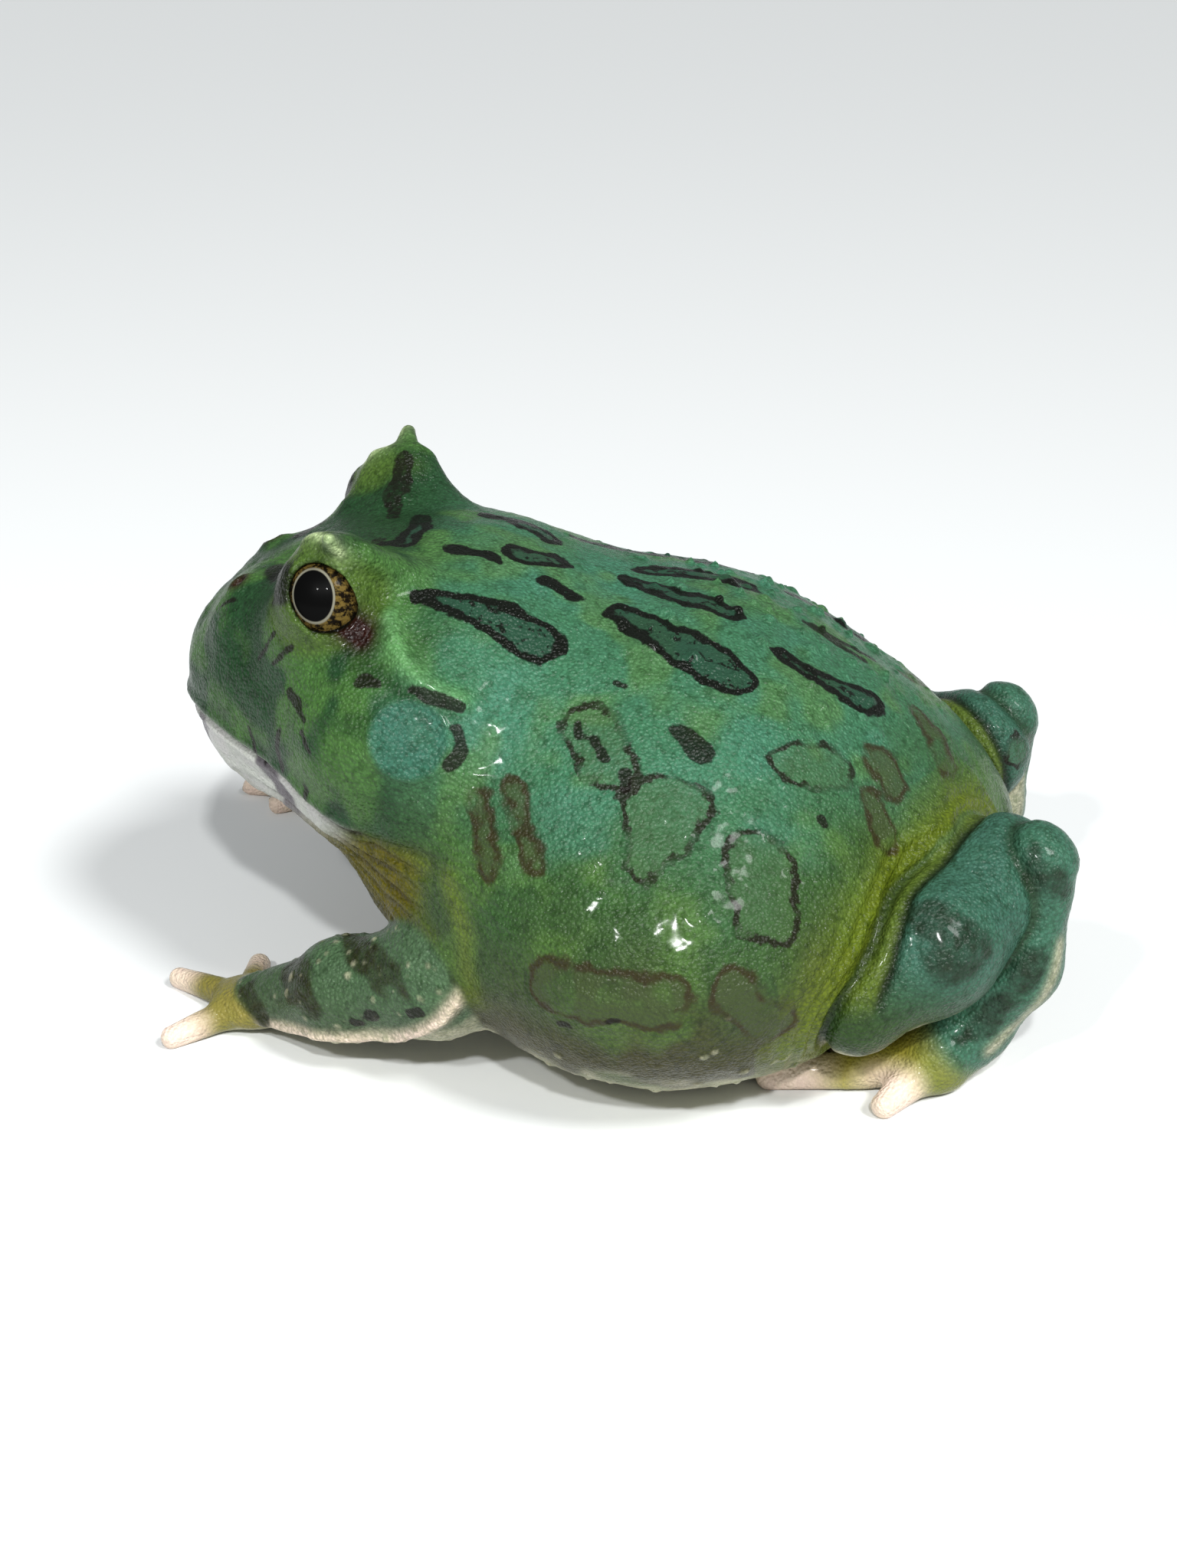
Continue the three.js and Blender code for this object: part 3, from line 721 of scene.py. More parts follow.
# Blotches with a thin, broken edge and a fill like the skin round them
RINGS = marks(
    [(26.3, 0.6, 41.2, 3.0), (29.9, 3.4, 38.4, 2.5)],
    [(24.0, 22.2, 37.9, 2.5), (22, 26.4, 36.9, 2.4)],
    [(33, 8.6, 36, 3.6), (37.8, 6.9, 31.3, 1.2)],
    [(32, 12.2, 36.2, 1.8), (35.6, 9.6, 33.2, 1.8)],
    [(35.5, 18.9, 31.5, 3.6), (38.5, 19.9, 28.3, 3.6)],
)
# Faded olive blotches with a soft brown edge
FADED = marks(
    [(16.7, 31.3, 35.7, 2.2), (18.2, 32.4, 34.1, 2.2)],
    [(42.3, -1, 20.4, 2.6), (44.9, 9.6, 20.3, 2.9)],
    [(43.7, 17.1, 21, 2.4), (42.1, 21.4, 16.4, 2.4)],
    [(22, 30, 33, 1.4), (23.5, 32, 30, 1.6)],
    [(4.5, 34.5, 35.8, 1.0), (9, 37.5, 31.5, 1.6)],
    [(30.9, -10.2, 35, 0.9), (34.8, -8.7, 29.5, 1.1)],
    [(30.7, -7, 36.4, 0.9), (36.3, -3.7, 30.6, 1.0)],
)
# Small black spots and bars
DARK_MARKS = marks(
    [(-0.2, 22.8, 43.7, 0.5), (-1.1, 29.9, 40.2, 0.5)],
    [(25.2, 10.0, 40.9, 1.2), (26.9, 12.4, 39.9, 1.3)],
    [(26.3, -0.6, 42.2, 0.6), (27.3, -0.4, 41.4, 0.6)],
    [(30.2, 4.6, 38.2, 0.8), (31, 4.8, 37, 0.6)],
    [(27.2, 1.2, 40.6, 0.6), (28.8, 2.4, 39.4, 0.7)],
    [(42.6, -0.3, 16.3, 0.5), (43, 0.5, 16.3, 0.4)],
    [(44.4, 4.9, 17.7, 0.5), (44.8, 5.6, 17.7, 0.4)],
    [(25.6, -23.1, 45.4, 0.9), (26, -21.9, 45.3, 0.6)],
    [(29.4, -13.8, 38.2, 0.9), (28.9, -12.7, 39.2, 0.7)],
    [(26.6, -16.2, 44.1, 0.5), (26.4, -13, 43.3, 0.3)],
    [(20.7, 2.9, 44, 0.5), (21, 3.6, 43.9, 0.4)],
    [(28, 25.2, 33.8, 0.6), (28.4, 25.6, 33.4, 0.5)],
    [(26.4, -17.8, 45.0, 0.6), (26.6, -13, 43.3, 0.5)],
    [(28, -13, 41.3, 0.6), (28.6, -12.6, 39.9, 0.6)],
    [(19.5, -34.3, 47.8, 0.35), (17.4, -36.7, 44.1, 0.3)],
    [(21.4, -31.5, 47.2, 0.35), (19.8, -34.4, 44.7, 0.3)],
    [(22.2, -32.1, 42.4, 0.6), (23.9, -30.7, 41.7, 0.65)],
    [(24.5, -30.4, 41.1, 0.35), (25.3, -29.7, 40.8, 0.3)],
    [(22, -33.4, 38.1, 0.4), (20.9, -33.6, 33.3, 0.65)],
    [(25.6, -30, 39.4, 0.35), (26.9, -28.9, 37.6, 0.3)],
    [(24.4, -30.3, 32.5, 0.4), (23.7, -30.1, 30.9, 0.3)],
    [(17.3, -38.1, 35.9, 0.4), (16.8, -36.7, 31.6, 0.3)],
    [(9.3, -42.6, 47.3, 0.4), (10.2, -41, 48.2, 0.4)],
    [(31.7, -24.6, 8.2, 0.7), (32.1, -23.9, 8.3, 0.6)],
    [(32.6, -22.6, 9.7, 0.7), (33, -22, 9.8, 0.7)],
    [(34.8, -17.6, 11.5, 0.6), (35.2, -16.8, 11.9, 0.7)],
)
# Soft dark patches on the shanks and feet
SPECKLED = marks(
    [(31.1, 36.5, 24.1, 2.4), (31.7, 41.3, 21.6, 2.5)],
    [(33.8, 37.8, 20.3, 2.2), (32.8, 41, 19.9, 1.7)],
    [(21.9, 47.3, 28.1, 1.1), (23.3, 47.5, 24.8, 1.0)],
    [(23, 49, 25.2, 1.6), (22, 50.9, 23.4, 1.3)],
    [(25.2, 47.7, 16.8, 1.9), (25.5, 46.6, 14.2, 1.6)],
    [(25.2, 45.2, 11.4, 1.6), (25.3, 43.2, 8.8, 1.5), (26.6, 40.7, 7.2, 0.9)],
)
# Olive-brown bands across the near forearm
BANDS = marks(
    [
        (24.5, -26.5, 14.6, 1.4), (30.3, -22.6, 15.4, 1.7), (33.5, -19.7, 14.6, 1.3),
        (34.7, -18.2, 13.5, 0.8),
    ],
    [(32.3, -22.2, 13.5, 0.6), (33.8, -20.1, 12.5, 0.6)],
    [(24.6, -33.6, 11.2, 2.4), (28.2, -31.9, 10.3, 2.5), (30.8, -29.4, 8.7, 1.9)],
    [(22.6, -39.2, 6.4, 1.5), (24.5, -37.5, 4.3, 1.5)],
    [(34.0, -13.7, 20.1, 0.7), (35.2, -12.8, 16.0, 0.6)],
)
# A round blotch on the far heel
FAR_RING = marks([(-11.8, 48, 25.2, 1.7), (-12.1, 48.4, 24.9, 1.7)])
# Black patches in front of each eye
EYE_FRONT = marks(
    [(19.2, -33.9, 54.6, 1.0), (21.1, -32.8, 52.8, 0.8)],
    [(6.4, -37.2, 50.7, 1.3), (9.6, -36, 51.5, 1.1)],
)
# The stripe down the inner face of each horn, and the hook between the horns
HORN_STRIPES = both_sides(*marks(
    [(-15.2, -26.5, 57.9, 0.9), (-10, -26.5, 55.5, 1.3), (-4.4, -25.8, 53.9, 0.9)],
))
HOOK = marks([
    (-3.2, -22.8, 54.4, 1.0), (1.6, -21.6, 54.6, 1.2), (5.2, -22.5, 54.3, 1.2),
    (5.6, -25.4, 54, 0.7),
])
# Lines: the sole's pale edge, the crest over the eye, the maroon patch behind it, and the
# yellow fold behind the near arm
SOLE_EDGE = [(22.8, 51.2, 17.5), (24.3, 49.9, 12.8), (23.3, 47.6, 8.4), (25.2, 44.4, 5.4)]
CREST = [(15.9, -31.9, 57.0), (17.2, -29.4, 58.5), (21.7, -27.2, 59.7), (20.6, -26.2, 57.6)]
EYE_CORNER = [(21.2, -25.8, 50.4), (22.2, -24, 49.4)]
ARMPIT = [(33.1, -13.5, 26.6), (35.8, -11.4, 21.9), (36, -10.6, 14.6)]

# The far side's marks are the near side's mirrored, as far forward as the right leg
FAR_SHIFT = np.array([0.0, -RIGHT_LEG_FORWARD, 0.0])
MARK_BLEND = 1.0
MARK_MARGIN = 4
MARK_LIMIT = 6


def on_both(forms):
    return forms + [
        {**form, "start": form["start"] + FAR_SHIFT, "end": form["end"] + FAR_SHIFT}
        for form in map(mirrored, forms)
    ]


# Rods moved so that both ends lie on the skin
def laid(forms):
    ends = settled(np.array([form[key] for form in forms for key in ("start", "end")]))
    return [{**form, "start": ends[2 * i], "end": ends[2 * i + 1]} for i, form in enumerate(forms)]


# Distance to the nearest of these marks, negative inside it
def nearest(points, forms):
    best = np.full(len(points), FAR_AWAY)
    for form in laid(forms):
        low, high = form_box(form)
        near = np.all((points > low - MARK_MARGIN) & (points < high + MARK_MARGIN), axis=1)
        if near.any():
            best[near] = blended(best[near], form_distance(points[near], form), MARK_BLEND)
    return np.clip(best, -MARK_LIMIT, MARK_LIMIT)


# The marks' edges waver, the small ones' less. The horns' stripes are only stippled.
FINE_WAVER = 0.45
STIPPLED = -0.1
waver = np.stack([
    noise(place, 2.8, 71 + i) * 0.75 + noise(place, 1.1, 75 + i) * 0.25 for i in range(3)
], 1)
wavering = place + waver
wavering_little = place + waver * FINE_WAVER
blotch = nearest(wavering, on_both(BLOTCHES) + HOOK)
rings = nearest(wavering, on_both(RINGS) + FAR_RING)
faded = nearest(wavering, on_both(FADED))
dark = nearest(wavering_little, on_both(DARK_MARKS))
dark = np.minimum(dark, np.maximum(nearest(wavering, HORN_STRIPES), STIPPLED))


# Colours of the skin, as the eye sees them, turned into light amounts
def light(red, green, blue):
    share = np.array([red, green, blue]) / 255.0
    return np.where(share > 0.04045, ((share + 0.055) / 1.055) ** 2.4, share / 12.92)


BACK_TEAL = light(59, 106, 79)
BACK_BLUE = light(64, 118, 100)
BACK_YELLOW = light(80, 112, 52)
FLANK_GREEN = light(51, 81, 42)
FLANK_OLIVE = light(58, 55, 24)
GROIN_YELLOW = light(88, 100, 18)
HEAD_GREEN = light(32, 63, 36)
HEAD_YELLOW = light(82, 122, 56)
HEAD_DARK = light(24, 56, 28)
RIDGE_GREEN = light(96, 146, 92)
RIDGE_SHADE = light(28, 56, 24)
THROAT_OLIVE = light(92, 84, 6)
THROAT_FOLD_SHADE = light(48, 38, 12)
JAW_WHITE = light(186, 184, 182)
BAR_PURPLE = light(76, 66, 78)
EAR_BLUE = light(50, 95, 80)
LID_OLIVE = light(68, 92, 36)
CREST_CREAM = light(178, 194, 146)
CORNER_MAROON = light(34, 11, 6)
RIM_BLACK_AND_MOUTH_SHADE = light(8, 7, 4)
NOSTRIL_SHADE = light(46, 28, 18)
ARM_GREEN = light(70, 94, 67)
ARM_OLIVE = light(58, 72, 44)
BAND_OLIVE = light(38, 42, 20)
ARMPIT_YELLOW = light(96, 108, 34)
ARM_CREASE_SHADE = light(40, 34, 16)
HAND_OLIVE = light(122, 114, 54)
TIP_PINK = light(228, 204, 188)
BELLY_CREAM = light(176, 170, 146)
SHANK_TEAL = light(54, 92, 77)
SHANK_OLIVE = light(44, 64, 20)
PATCH_DARK = light(30, 42, 28)
FOLD_YELLOW = light(84, 98, 24)
CREASE_SHADE = light(20, 28, 8)
FOOT_TEAL = light(58, 98, 80)
FOOT_OLIVE = light(92, 104, 50)
TOE_OLIVE_WITH_PAINTED_LIGHT = light(146, 136, 50)


# Layers of paint, each an amount from 0 to 1 and its colour, laid one over another
def painted(colour, *layers):
    for amount, paint in layers:
        colour = colour + (paint - colour) * np.clip(amount, 0, 1)[:, None]
    return colour


# The trunk and head: teal on the back, green and olive further down, mottled
drift = noise(place, 9.0, 81) * 4 + noise(place, 3.5, 82) * 1.5
yellower = smooth(noise(place, 6.0, 91) + 0.5 * noise(place, 2.4, 92), 0.0, 0.6)
mottled = smooth(noise(place, 4.2, 98) + 0.5 * noise(place, 1.8, 99), 0.1, 0.8)
bluer = smooth(noise(place, 8.0, 93) + 0.4 * noise(place, 3.0, 94), 0.0, 0.7)
under_brow = line_distance(left_place + 0.3 * sway[:, None], UNDER_BROW)
groin_paint = np.clip(groin_skin * 1.2 + 0.15 * noise(place, 2.5, 96) * groin_skin, 0, 0.9)
colour = painted(
    np.tile(BACK_TEAL, (len(place), 1)),
    (1 - smooth(z + drift, 26, 42), FLANK_GREEN),
    (1 - smooth(z + drift, 10, 29), FLANK_OLIVE),
    (smooth(-y + drift * 0.6, 12, 24) * smooth(z, 22, 30), HEAD_GREEN),
    (head * yellower * 0.5, HEAD_YELLOW),
    (bell(brow, RIDGE_BREADTH) * 0.75, RIDGE_GREEN),
    (bell(under_brow, 1.1) * 0.75, RIDGE_SHADE),
    (head * mottled * 0.45, HEAD_DARK),
    ((1 - head) * bluer * smooth(z, 24, 34) * 0.4, BACK_BLUE),
    ((1 - head) * yellower * 0.45, BACK_YELLOW),
    (groin_paint, GROIN_YELLOW),
    (throat, THROAT_OLIVE),
)

# The limbs: teal to olive, cream below, with dark patches and bands, pale toes that are partly
# painted light, and painted shade in the creases
under = 1 - smooth(normal[:, 2] + 0.1 * noise(place, 2.0, 83), -0.9, -0.6)
under *= 1 - 0.9 * throat
toes = feet * (1 - smooth(y + z, 41, 47))
downward = 0.6 * normal[:, 1] - 0.8 * normal[:, 2]
sole = feet * smooth(downward, 0.74, 0.92) * (1 - smooth(z, 9, 15))
sole_line = line_distance(left_place - np.outer(x < 0, FAR_SHIFT), SOLE_EDGE)
inward = smooth(-normal[:, 0] * np.sign(x), 0.2, 0.6)
inner = feet * inward * smooth(y, 42, 45) * (1 - smooth(z, 20, 24))
pale_foot = np.maximum(np.maximum(sole, feet * bell(sole_line, 0.9)), inner)
patch = nearest(wavering, on_both(SPECKLED))
patchy = 0.72 + 0.28 * noise(place, 0.8, 97)
bands = nearest(wavering, BANDS)
armpit = line_distance(left_place, ARMPIT)
colour = painted(
    colour,
    (shanks, SHANK_TEAL),
    (shanks * (1 - smooth(z + 0.35 * y, 24, 34)) * 0.9, SHANK_OLIVE),
    (arms, ARM_GREEN),
    (arms * (1 - smooth(z, 6, 16)) * 0.45, ARM_OLIVE),
    (feet, FOOT_TEAL),
    # The toes' olive is partly their own colour and partly painted light: paler, so that toes
    # under the belly's shadow still look lit
    (toes, TOE_OLIVE_WITH_PAINTED_LIGHT),
    (toes * smooth(y, 34, 38) * 0.7, FOOT_OLIVE),
    (hands, HAND_OLIVE),
    (arms * (1 - smooth(normal[:, 2], -0.6, -0.35)) * 0.85, BELLY_CREAM),
    (arms * bell(hem, HEM_BREADTH), TIP_PINK),
    (pale_foot * 0.8, BELLY_CREAM),
    (under * (z < 30), BELLY_CREAM),
    ((1 - smooth(patch, -0.7, 0.5)) * patchy, PATCH_DARK),
    (arms * (1 - smooth(bands, -0.5, 0.3)) * (0.15 + patchy), BAND_OLIVE),
    (fold_skin * 0.85, FOLD_YELLOW),
    # Painted shade: darker in the creases at the groin, behind the foot and behind the shank's
    # fold
    (bell(leg_crease, 0.5) * 0.9, CREASE_SHADE),
    (bell(foot_crease, 0.45) * 0.9, CREASE_SHADE),
    ((1 - second_crease) * 0.9, CREASE_SHADE),
    (bell(armpit, 1.6) * (x > 0) * 0.6, ARMPIT_YELLOW),
    # Painted shade in the crease where the upper arm meets the trunk
    (bell(arm_crease, 0.5) * 0.5, ARM_CREASE_SHADE),
)

# Pink tips of fingers and toes. On the two outer toes the pink runs further up.
FINGERS = slice(1, None)
TOES = slice(3, None)
OUTER_TOES = slice(3, 5)
OUTER_TOE_PINK = (6.5, 9.5)
tips = [form["end"] for arm in (LEFT_ARM, RIGHT_ARM) for form in arm["hand"][FINGERS]]
tips += [form["end"] for leg in (LEFT_LEG, RIGHT_LEG) for form in leg["foot"][TOES]]
tip_distance = np.min([distance_to(place, tip) for tip in tips], 0)
pink_toes = 1 - smooth(tip_distance, 1, 4)
for leg in (LEFT_LEG, RIGHT_LEG):
    for form, reach in zip(leg["foot"][OUTER_TOES], OUTER_TOE_PINK):
        along_toe = distance_to(place, form["end"]) / reach
        pink_toes = np.maximum(pink_toes, 1 - smooth(along_toe, 0.35, 1))
ear_skin = 1 - smooth(ear_distance, EARDRUM_RADIUS - 0.6, EARDRUM_RADIUS + 0.3)
colour = painted(
    colour,
    ((1 - smooth(tip_distance, 1.5, 6)) * hands, TIP_PINK),
    (pink_toes * feet, TIP_PINK),
    (ear_skin * 0.85, EAR_BLUE),
)

# The jaws: pale along the mouth below the lip line, with purple-grey bars
BARS_PER_TURN = 9
jaw_skin = mouth_run * (1 - smooth(across, -0.3, 0.4)) * smooth(z, 24, 27) * smooth(-y, 24, 30)
lip_edge = mouth_run * open_run * bell(across - 0.7, 0.45)
around = np.degrees(np.arctan2(side_x, -(y + 22)))
bars = smooth(np.sin(np.radians(around * BARS_PER_TURN) + noise(place, 3, 84)), 0.45, 0.75)
colour = painted(
    colour,
    (jaw_skin, JAW_WHITE),
    (lip_edge * 0.55, JAW_WHITE),
    (jaw_skin * bars * 0.85, BAR_PURPLE),
)

# Round the eyes: olive lids with black margins, a pale crest, a maroon patch and a black one
eye_distance = distance_to(left_place, EYE_PLACE)
maroon = line_distance(left_place + waver * 0.5, EYE_CORNER)
crest = line_distance(left_place, CREST)
eye_front = 1 - smooth(nearest(wavering_little, both_sides(*EYE_FRONT)), -0.3, 0.4)
along, upward = eye_axes(1, 0.0)[:2]
offset = left_place - EYE_PLACE
before = smooth(-(offset @ along), 2.2, 2.9) * (eye_distance < 6.6)
before *= 1 - smooth(np.abs(offset @ upward - 1.2), 1.9, 2.8)
eye_front = np.maximum(eye_front, before)
colour = painted(
    colour,
    (1 - smooth(eye_distance, 6.0, 8.0), LID_OLIVE),
    (bell(maroon, 2.2) * 1.3, CORNER_MAROON),
    (eye_front * 0.92, RIM_BLACK_AND_MOUTH_SHADE),
    (bell(crest, 0.5) * 0.9 + bell(crest, 1.4) * 0.2, CREST_CREAM),
    (1 - smooth(eye_distance, EYE_RADIUS + 0.25, EYE_RADIUS + 0.7), RIM_BLACK_AND_MOUTH_SHADE),
)

# Nostrils, pale pustules, and painted shade in the nostril pits, the mouth's slit and the troughs
# of the throat's folds
pit = np.min([distance_to(place, middle) for middle, outward in NOSTRILS], 0)
colour = painted(
    colour,
    # Painted shade: the nostril pits are darkened
    (1 - smooth(pit, 0.8, 2.0), NOSTRIL_SHADE),
    (smooth(pustules, 0.2, 0.7) * 0.55, BELLY_CREAM),
    (smooth(arm_pustules, 0.2, 0.8) * 0.4, BELLY_CREAM),
    # Painted shade: a thin black line in the slit between the lips; the same black also colours
    # the eyes' margins and the patches before them
    (mouth_run * bell(across, 0.3) * 0.75 * open_run, RIM_BLACK_AND_MOUTH_SHADE),
    # Painted shade: darker in the troughs between the throat's folds
    (smooth(-relief * throat, 0.05, 0.25) * 0.5, THROAT_FOLD_SHADE),
)

# How granular the skin is: fine and smooth on toes, fingers, jaws and belly
grainy = 1 - 0.8 * np.clip(hands + toes + jaw_skin + under, 0, 1)


def mesh_piece(name, places, faces, attributes):
    mesh = bpy.data.meshes.new(name)
    mesh.vertices.add(len(places))
    mesh.vertices.foreach_set("co", ((places + SHIFT) * MM).astype(np.float32).ravel())
    mesh.loops.add(faces.size)
    mesh.loops.foreach_set("vertex_index", faces.astype(np.int32).ravel())
    mesh.polygons.add(len(faces))
    mesh.polygons.foreach_set("loop_start", np.arange(0, faces.size, 4, dtype=np.int32))
    mesh.update(calc_edges=True)
    mesh.validate()
    mesh.polygons.foreach_set("use_smooth", np.ones(len(faces), bool))
    for key, values in attributes.items():
        if values.ndim == 2:
            four = np.concatenate([values, np.ones((len(values), 1))], 1)
            layer = mesh.attributes.new(key, "FLOAT_COLOR", "POINT")
            layer.data.foreach_set("color", four.astype(np.float32).ravel())
        else:
            layer = mesh.attributes.new(key, "FLOAT", "POINT")
            layer.data.foreach_set("value", values.astype(np.float32))
    piece = bpy.data.objects.new(name, mesh)
    bpy.context.scene.collection.objects.link(piece)
    return piece


skin = mesh_piece("frog_skin", skin_place, quads, {
    "hue": colour,
    "blotch": blotch,
    "ring": rings,
    "faded": faded,
    "dark": dark,
    "grainy": grainy,
})


# Makes the nodes of one material, each with the values or sockets that feed it
class Shader:
    def __init__(self, name):
        self.material = bpy.data.materials.new(name)
        self.material.use_nodes = True
        self.tree = self.material.node_tree
        self.surface = self.tree.nodes["Principled BSDF"]

    def node(self, kind, values=(), **settings):
        made = self.tree.nodes.new(kind)
        for key, value in settings.items():
            setattr(made, key, value)
        for key, value in dict(values).items():
            if isinstance(value, bpy.types.NodeSocket):
                self.tree.links.new(value, made.inputs[key])
            else:
                made.inputs[key].default_value = value
        return made

    def math(self, operation, first, second=0.0, third=0.0):
        values = {0: first, 1: second, 2: third}
        return self.node("ShaderNodeMath", values, operation=operation).outputs[0]

    def ramp(self, value, start, end, low=0.0, high=1.0):
        made = self.node(
            "ShaderNodeMapRange",
            {"Value": value, "From Min": start, "From Max": end, "To Min": low, "To Max": high},
            interpolation_type="SMOOTHSTEP",
        )
        return made.outputs["Result"]

    def mix(self, amount, first, second, blend="MIX"):
        made = self.node("ShaderNodeMix", data_type="RGBA", blend_type=blend)
        for slot, value in ((0, amount), (6, first), (7, second)):
            if isinstance(value, bpy.types.NodeSocket):
                self.tree.links.new(value, made.inputs[slot])
            elif slot == 0:
                made.inputs[slot].default_value = value
            else:
                made.inputs[slot].default_value = (*value, 1.0)
        return made.outputs[2]

    def attribute(self, name, output="Fac"):
        return self.node("ShaderNodeAttribute", attribute_name=name).outputs[output]

    def noise(self, scale, detail=2.0, roughness=0.5):
        where = self.node("ShaderNodeTexCoord").outputs["Object"]
        made = self.node(
            "ShaderNodeTexNoise",
            {"Vector": where, "Scale": scale, "Detail": detail, "Roughness": roughness},
        )
        return made.outputs["Fac"]

    def cells(self, scale):
        where = self.node("ShaderNodeTexCoord").outputs["Object"]
        made = self.node("ShaderNodeTexVoronoi", {"Vector": where, "Scale": scale})
        return made.outputs["Distance"]

    def set(self, **values):
        for key, value in values.items():
            socket = self.surface.inputs[key.replace("_", " ")]
            if isinstance(value, bpy.types.NodeSocket):
                self.tree.links.new(value, socket)
            else:
                socket.default_value = value


# Colours of the markings and of the eye
BLOTCH_FILL = light(28, 56, 42)
BLOTCH_EDGE = light(7, 8, 4)
RING_FILL = light(58, 80, 48)
RING_EDGE = light(20, 15, 7)
FADED_FILL = light(52, 62, 34)
FADED_EDGE = light(40, 28, 12)
MARK_BLACK = light(14, 10, 6)
IRIS_GOLD = light(92, 76, 36)
IRIS_THREAD = light(14, 10, 5)
IRIS_MARGIN = light(14, 12, 8)
PUPIL_RING = light(114, 112, 98)
PUPIL_BLACK = (0.002, 0.002, 0.002)

# Tints that multiply the colour below them
MOTTLE_TINT = (0.86, 1.0, 0.82)
PORE_TINT = (0.36, 0.42, 0.34)
SPECKLE_TINT = (0.4, 0.46, 0.36)

# Wet skin: the region's own colour, mottled, porous and speckled, with textures per metre
wet = Shader("wet_skin")
grainy_share = wet.attribute("grainy")
speckle = wet.noise(900.0, 3.0, 0.6)
mottle = wet.noise(330.0, 3.0, 0.6)
grain = wet.noise(2600.0, 2.0, 0.6)
mottle_share = wet.ramp(mottle, 0.35, 0.65, high=0.35)
tone = wet.mix(mottle_share, wet.attribute("hue", "Color"), MOTTLE_TINT, "MULTIPLY")
pores = wet.math("MULTIPLY", wet.ramp(wet.cells(2300.0), 0.3, 0.62, high=0.45), grainy_share)
pored = wet.mix(pores, tone, PORE_TINT, "MULTIPLY")
dim = wet.math("MULTIPLY", wet.ramp(speckle, 0.5, 0.66, high=0.6), grainy_share)
speckled = wet.mix(dim, pored, SPECKLE_TINT, "MULTIPLY")
edge_noise = wet.math("MULTIPLY_ADD", speckle, 1.0, -0.5)


# Distance to the edge of a kind of mark, made uneven by the fine noise
def uneven(name, amount, inset=0.0):
    distance = wet.math("ADD", wet.attribute(name), inset)
    return wet.math("MULTIPLY_ADD", edge_noise, amount, distance)


# Blotches: dark teal, speckled with black, with a black edge
BLOTCH_EDGE_INSET = 0.35
fill_share = wet.ramp(uneven("blotch", 1.0), 0.3, -0.3)
filled = wet.mix(wet.math("MULTIPLY", fill_share, 0.85), speckled, BLOTCH_FILL)
from_edge = wet.math("ABSOLUTE", uneven("blotch", 1.1, BLOTCH_EDGE_INSET))
edge_share = wet.ramp(from_edge, 0.72, 0.42, high=0.97)
specks = wet.math("MULTIPLY", fill_share, wet.ramp(speckle, 0.56, 0.64, high=0.9))
blotched = wet.mix(wet.math("MAXIMUM", edge_share, specks), filled, BLOTCH_EDGE)

# Rings: nearly the skin's own colour inside, with a thin, broken edge
broken = wet.ramp(wet.noise(260.0, 1.0, 0.5), 0.36, 0.5, 0.35, 1.0)
ring_fill = wet.ramp(wet.attribute("ring"), 0.3, -0.3, high=0.35)
ring_filled = wet.mix(ring_fill, blotched, RING_FILL)
from_ring = wet.math("ABSOLUTE", uneven("ring", 1.8))
ring_share = wet.math("MULTIPLY", wet.ramp(from_ring, 0.6, 0.25, high=0.9), broken)
ringed = wet.mix(ring_share, ring_filled, RING_EDGE)

# Faded blotches: olive inside, with a soft, broken brown edge
faded_fill = wet.math("MULTIPLY", wet.ramp(uneven("faded", 1.0), 0.4, -0.4, high=0.8), broken)
faded_filled = wet.mix(faded_fill, ringed, FADED_FILL)
from_faded = wet.math("ABSOLUTE", uneven("faded", 1.5))
faded_share = wet.math("MULTIPLY", wet.ramp(from_faded, 0.7, 0.1, high=0.8), broken)
browned = wet.mix(faded_share, faded_filled, FADED_EDGE)

# Small black marks lie over all
dark_share = wet.ramp(uneven("dark", 0.8), 0.15, -0.15, high=0.9)
wet.set(
    Base_Color=wet.mix(dark_share, browned, MARK_BLACK),
    Roughness=wet.ramp(grain, 0.3, 0.7, 0.24, 0.42),
    Coat_Weight=0.08,
    Coat_Roughness=0.1,
    Specular_IOR_Level=0.14,
)

# Fine relief, too small for the mesh: pores, grain and speckles up to 0.3 mm deep
relief_mix = wet.math("MULTIPLY_ADD", wet.cells(2500.0), -0.7, wet.math("MULTIPLY", grain, 0.5))
fine = wet.math("ADD", relief_mix, wet.math("MULTIPLY", speckle, 0.6))
bump = wet.node("ShaderNodeBump", {"Height": fine, "Strength": 0.8, "Distance": 0.0003})
wet.set(Normal=bump.outputs["Normal"])
skin.data.materials.append(wet.material)
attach(skin, "root")
flesh = ["torso", "head", "lower_jaw"]
for side_name in ("left", "right"):
    for part in ("horn", "tympanum", "arm", "hand", "thigh", "shank", "foot"):
        flesh.append(part + "_" + side_name)
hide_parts(*flesh)

# Eyes: a black pupil in a thin silver ring, a mottled gold-brown iris, and a wet surface.
# Distances are in times the pupil's own radius.
gaze = Shader("wet_eye")
eye_place = gaze.node("ShaderNodeTexCoord").outputs["Object"]
apart = gaze.node("ShaderNodeSeparateXYZ", {"Vector": eye_place})
across_pupil = gaze.math("DIVIDE", apart.outputs["X"], PUPIL_HALF_WIDTH * MM)
up_pupil = gaze.math("DIVIDE", apart.outputs["Y"], PUPIL_HALF_HEIGHT * MM)
squares = gaze.math(
    "ADD",
    gaze.math("MULTIPLY", across_pupil, across_pupil),
    gaze.math("MULTIPLY", up_pupil, up_pupil),
)
from_pupil = gaze.math("SQRT", squares)
threads = gaze.noise(1300.0, 4.0, 0.7)
iris = gaze.mix(gaze.ramp(threads, 0.44, 0.6), IRIS_THREAD, IRIS_GOLD)
rimmed = gaze.mix(gaze.ramp(from_pupil, 1.75, 2.1, high=0.9), iris, IRIS_MARGIN)
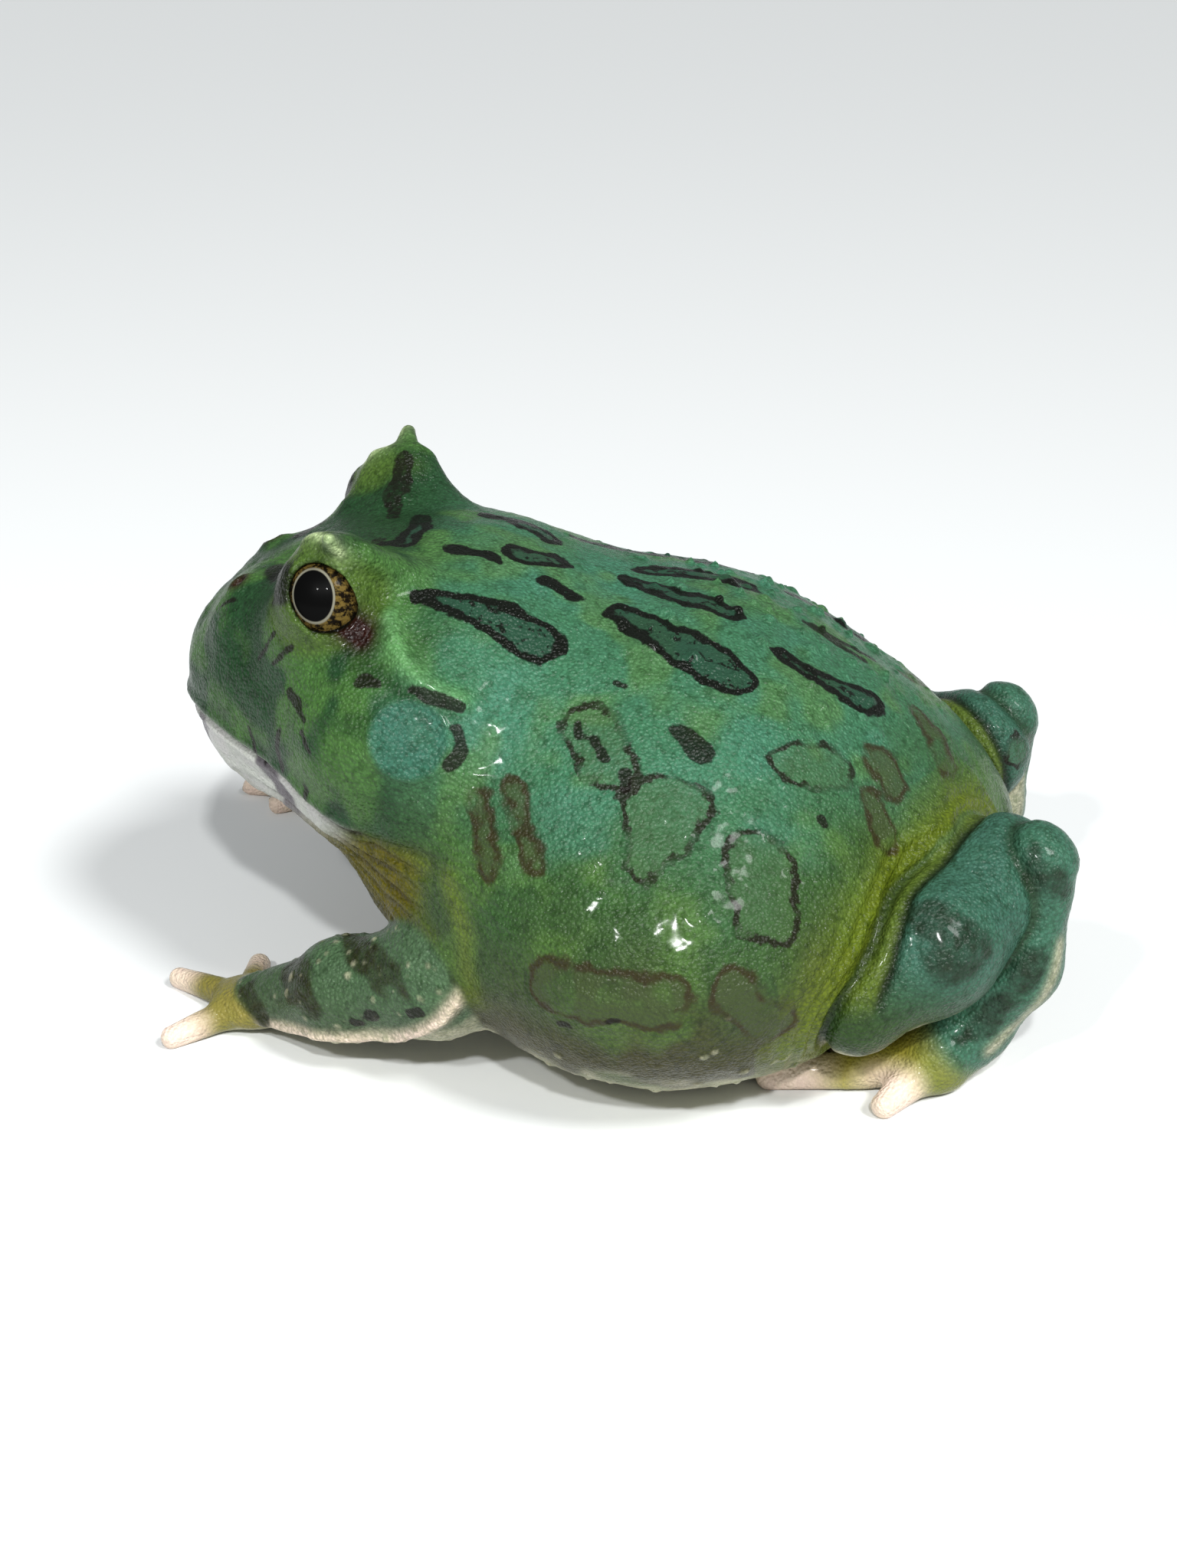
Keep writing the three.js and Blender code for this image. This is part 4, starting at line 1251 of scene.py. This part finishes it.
ring = gaze.mix(gaze.ramp(from_pupil, 1.15, 1.09), rimmed, PUPIL_RING)
pupil = gaze.mix(gaze.ramp(from_pupil, 1.05, 1.0), ring, PUPIL_BLACK)
gaze.set(
    Base_Color=pupil,
    Roughness=0.4,
    Specular_IOR_Level=0.02,
    Coat_Weight=0.025,
    Coat_Roughness=0.03,
)


def eye_piece(name, side):
    bpy.ops.mesh.primitive_uv_sphere_add(segments=64, ring_count=40, radius=EYE_RADIUS * MM)
    piece = bpy.context.object
    piece.name = name
    bpy.ops.object.shade_smooth()
    along, upward, look = eye_axes(side, PUPIL_LEAN)
    turn = Matrix((along * side, upward, look)).transposed()
    middle = (eye_middle(side) + SHIFT) * MM
    piece.matrix_world = Matrix.Translation(Vector(middle)) @ turn.to_4x4()
    piece.data.materials.append(gaze.material)
    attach(piece, "root")
    return piece


for side_name, side in (("left", 1), ("right", -1)):
    eye = eye_piece("wet_eye_" + side_name, side)
    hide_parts("eye_" + side_name)

# A plain pale floor, in metres
FLOOR_SIZE = 60.0
FLOOR_COLOUR = (0.78, 0.8, 0.8, 1.0)
FLOOR_ROUGHNESS = 0.7
bpy.ops.mesh.primitive_plane_add(size=FLOOR_SIZE)
floor = bpy.context.object
floor.name = "floor"
pale = Shader("pale_floor")
pale.set(Base_Color=FLOOR_COLOUR, Roughness=FLOOR_ROUGHNESS)
floor.data.materials.append(pale.material)

# Soft studio light: a pale room, a broad sun as the window, and two small lamps for wet glints.
# The sun's spread is in degrees, a lamp's in metres.
ROOM_COLOUR = (0.95, 0.98, 1.0, 1.0)
ROOM_LIGHT = 0.25
LIGHT_AIM = Vector((0.0, 0.0, 0.02))
world = bpy.data.worlds.new("soft_room")
bpy.context.scene.world = world
world.use_nodes = True
room = world.node_tree.nodes["Background"]
room.inputs["Color"].default_value = ROOM_COLOUR
room.inputs["Strength"].default_value = ROOM_LIGHT


def lamp(name, kind, place, power, spread):
    data = bpy.data.lights.new(name, kind)
    data.energy = power
    if kind == "SUN":
        data.angle = math.radians(spread)
    else:
        data.size = spread
    piece = bpy.data.objects.new(name, data)
    piece.location = place
    piece.rotation_euler = (LIGHT_AIM - Vector(place)).to_track_quat("-Z", "Y").to_euler()
    bpy.context.scene.collection.objects.link(piece)


lamp("window", "SUN", (0.35, 0.5, 0.75), power=2.8, spread=14.0)
lamp("lamp", "AREA", (0.5, 0.1, 0.5), power=2.6, spread=0.03)
lamp("second_lamp", "AREA", (0.42, -0.14, 0.4), power=1.4, spread=0.03)

# The camera stands where the photograph was taken from
CAMERA_PLACE = np.array([228.97, 23.89, 128.34])
CAMERA_RIGHT = np.array([-0.11494, 0.99337, 0.0])
CAMERA_UP = np.array([-0.41194, -0.04767, 0.90996])
CAMERA_BACK = np.array([0.90393, 0.10459, 0.41469])
LENS = 49.24
SENSOR_WIDTH = 36.0
NEAREST_SEEN = 0.01
camera = bpy.data.objects.new("camera", bpy.data.cameras.new("camera"))
camera.data.lens = LENS
camera.data.sensor_width = SENSOR_WIDTH
camera.data.clip_start = NEAREST_SEEN
bpy.context.scene.collection.objects.link(camera)
turn = Matrix((CAMERA_RIGHT, CAMERA_UP, CAMERA_BACK)).transposed()
camera.matrix_world = Matrix.Translation(Vector((CAMERA_PLACE + SHIFT) * MM)) @ turn.to_4x4()
bpy.context.scene.camera = camera
bpy.context.scene.view_settings.view_transform = "Standard"
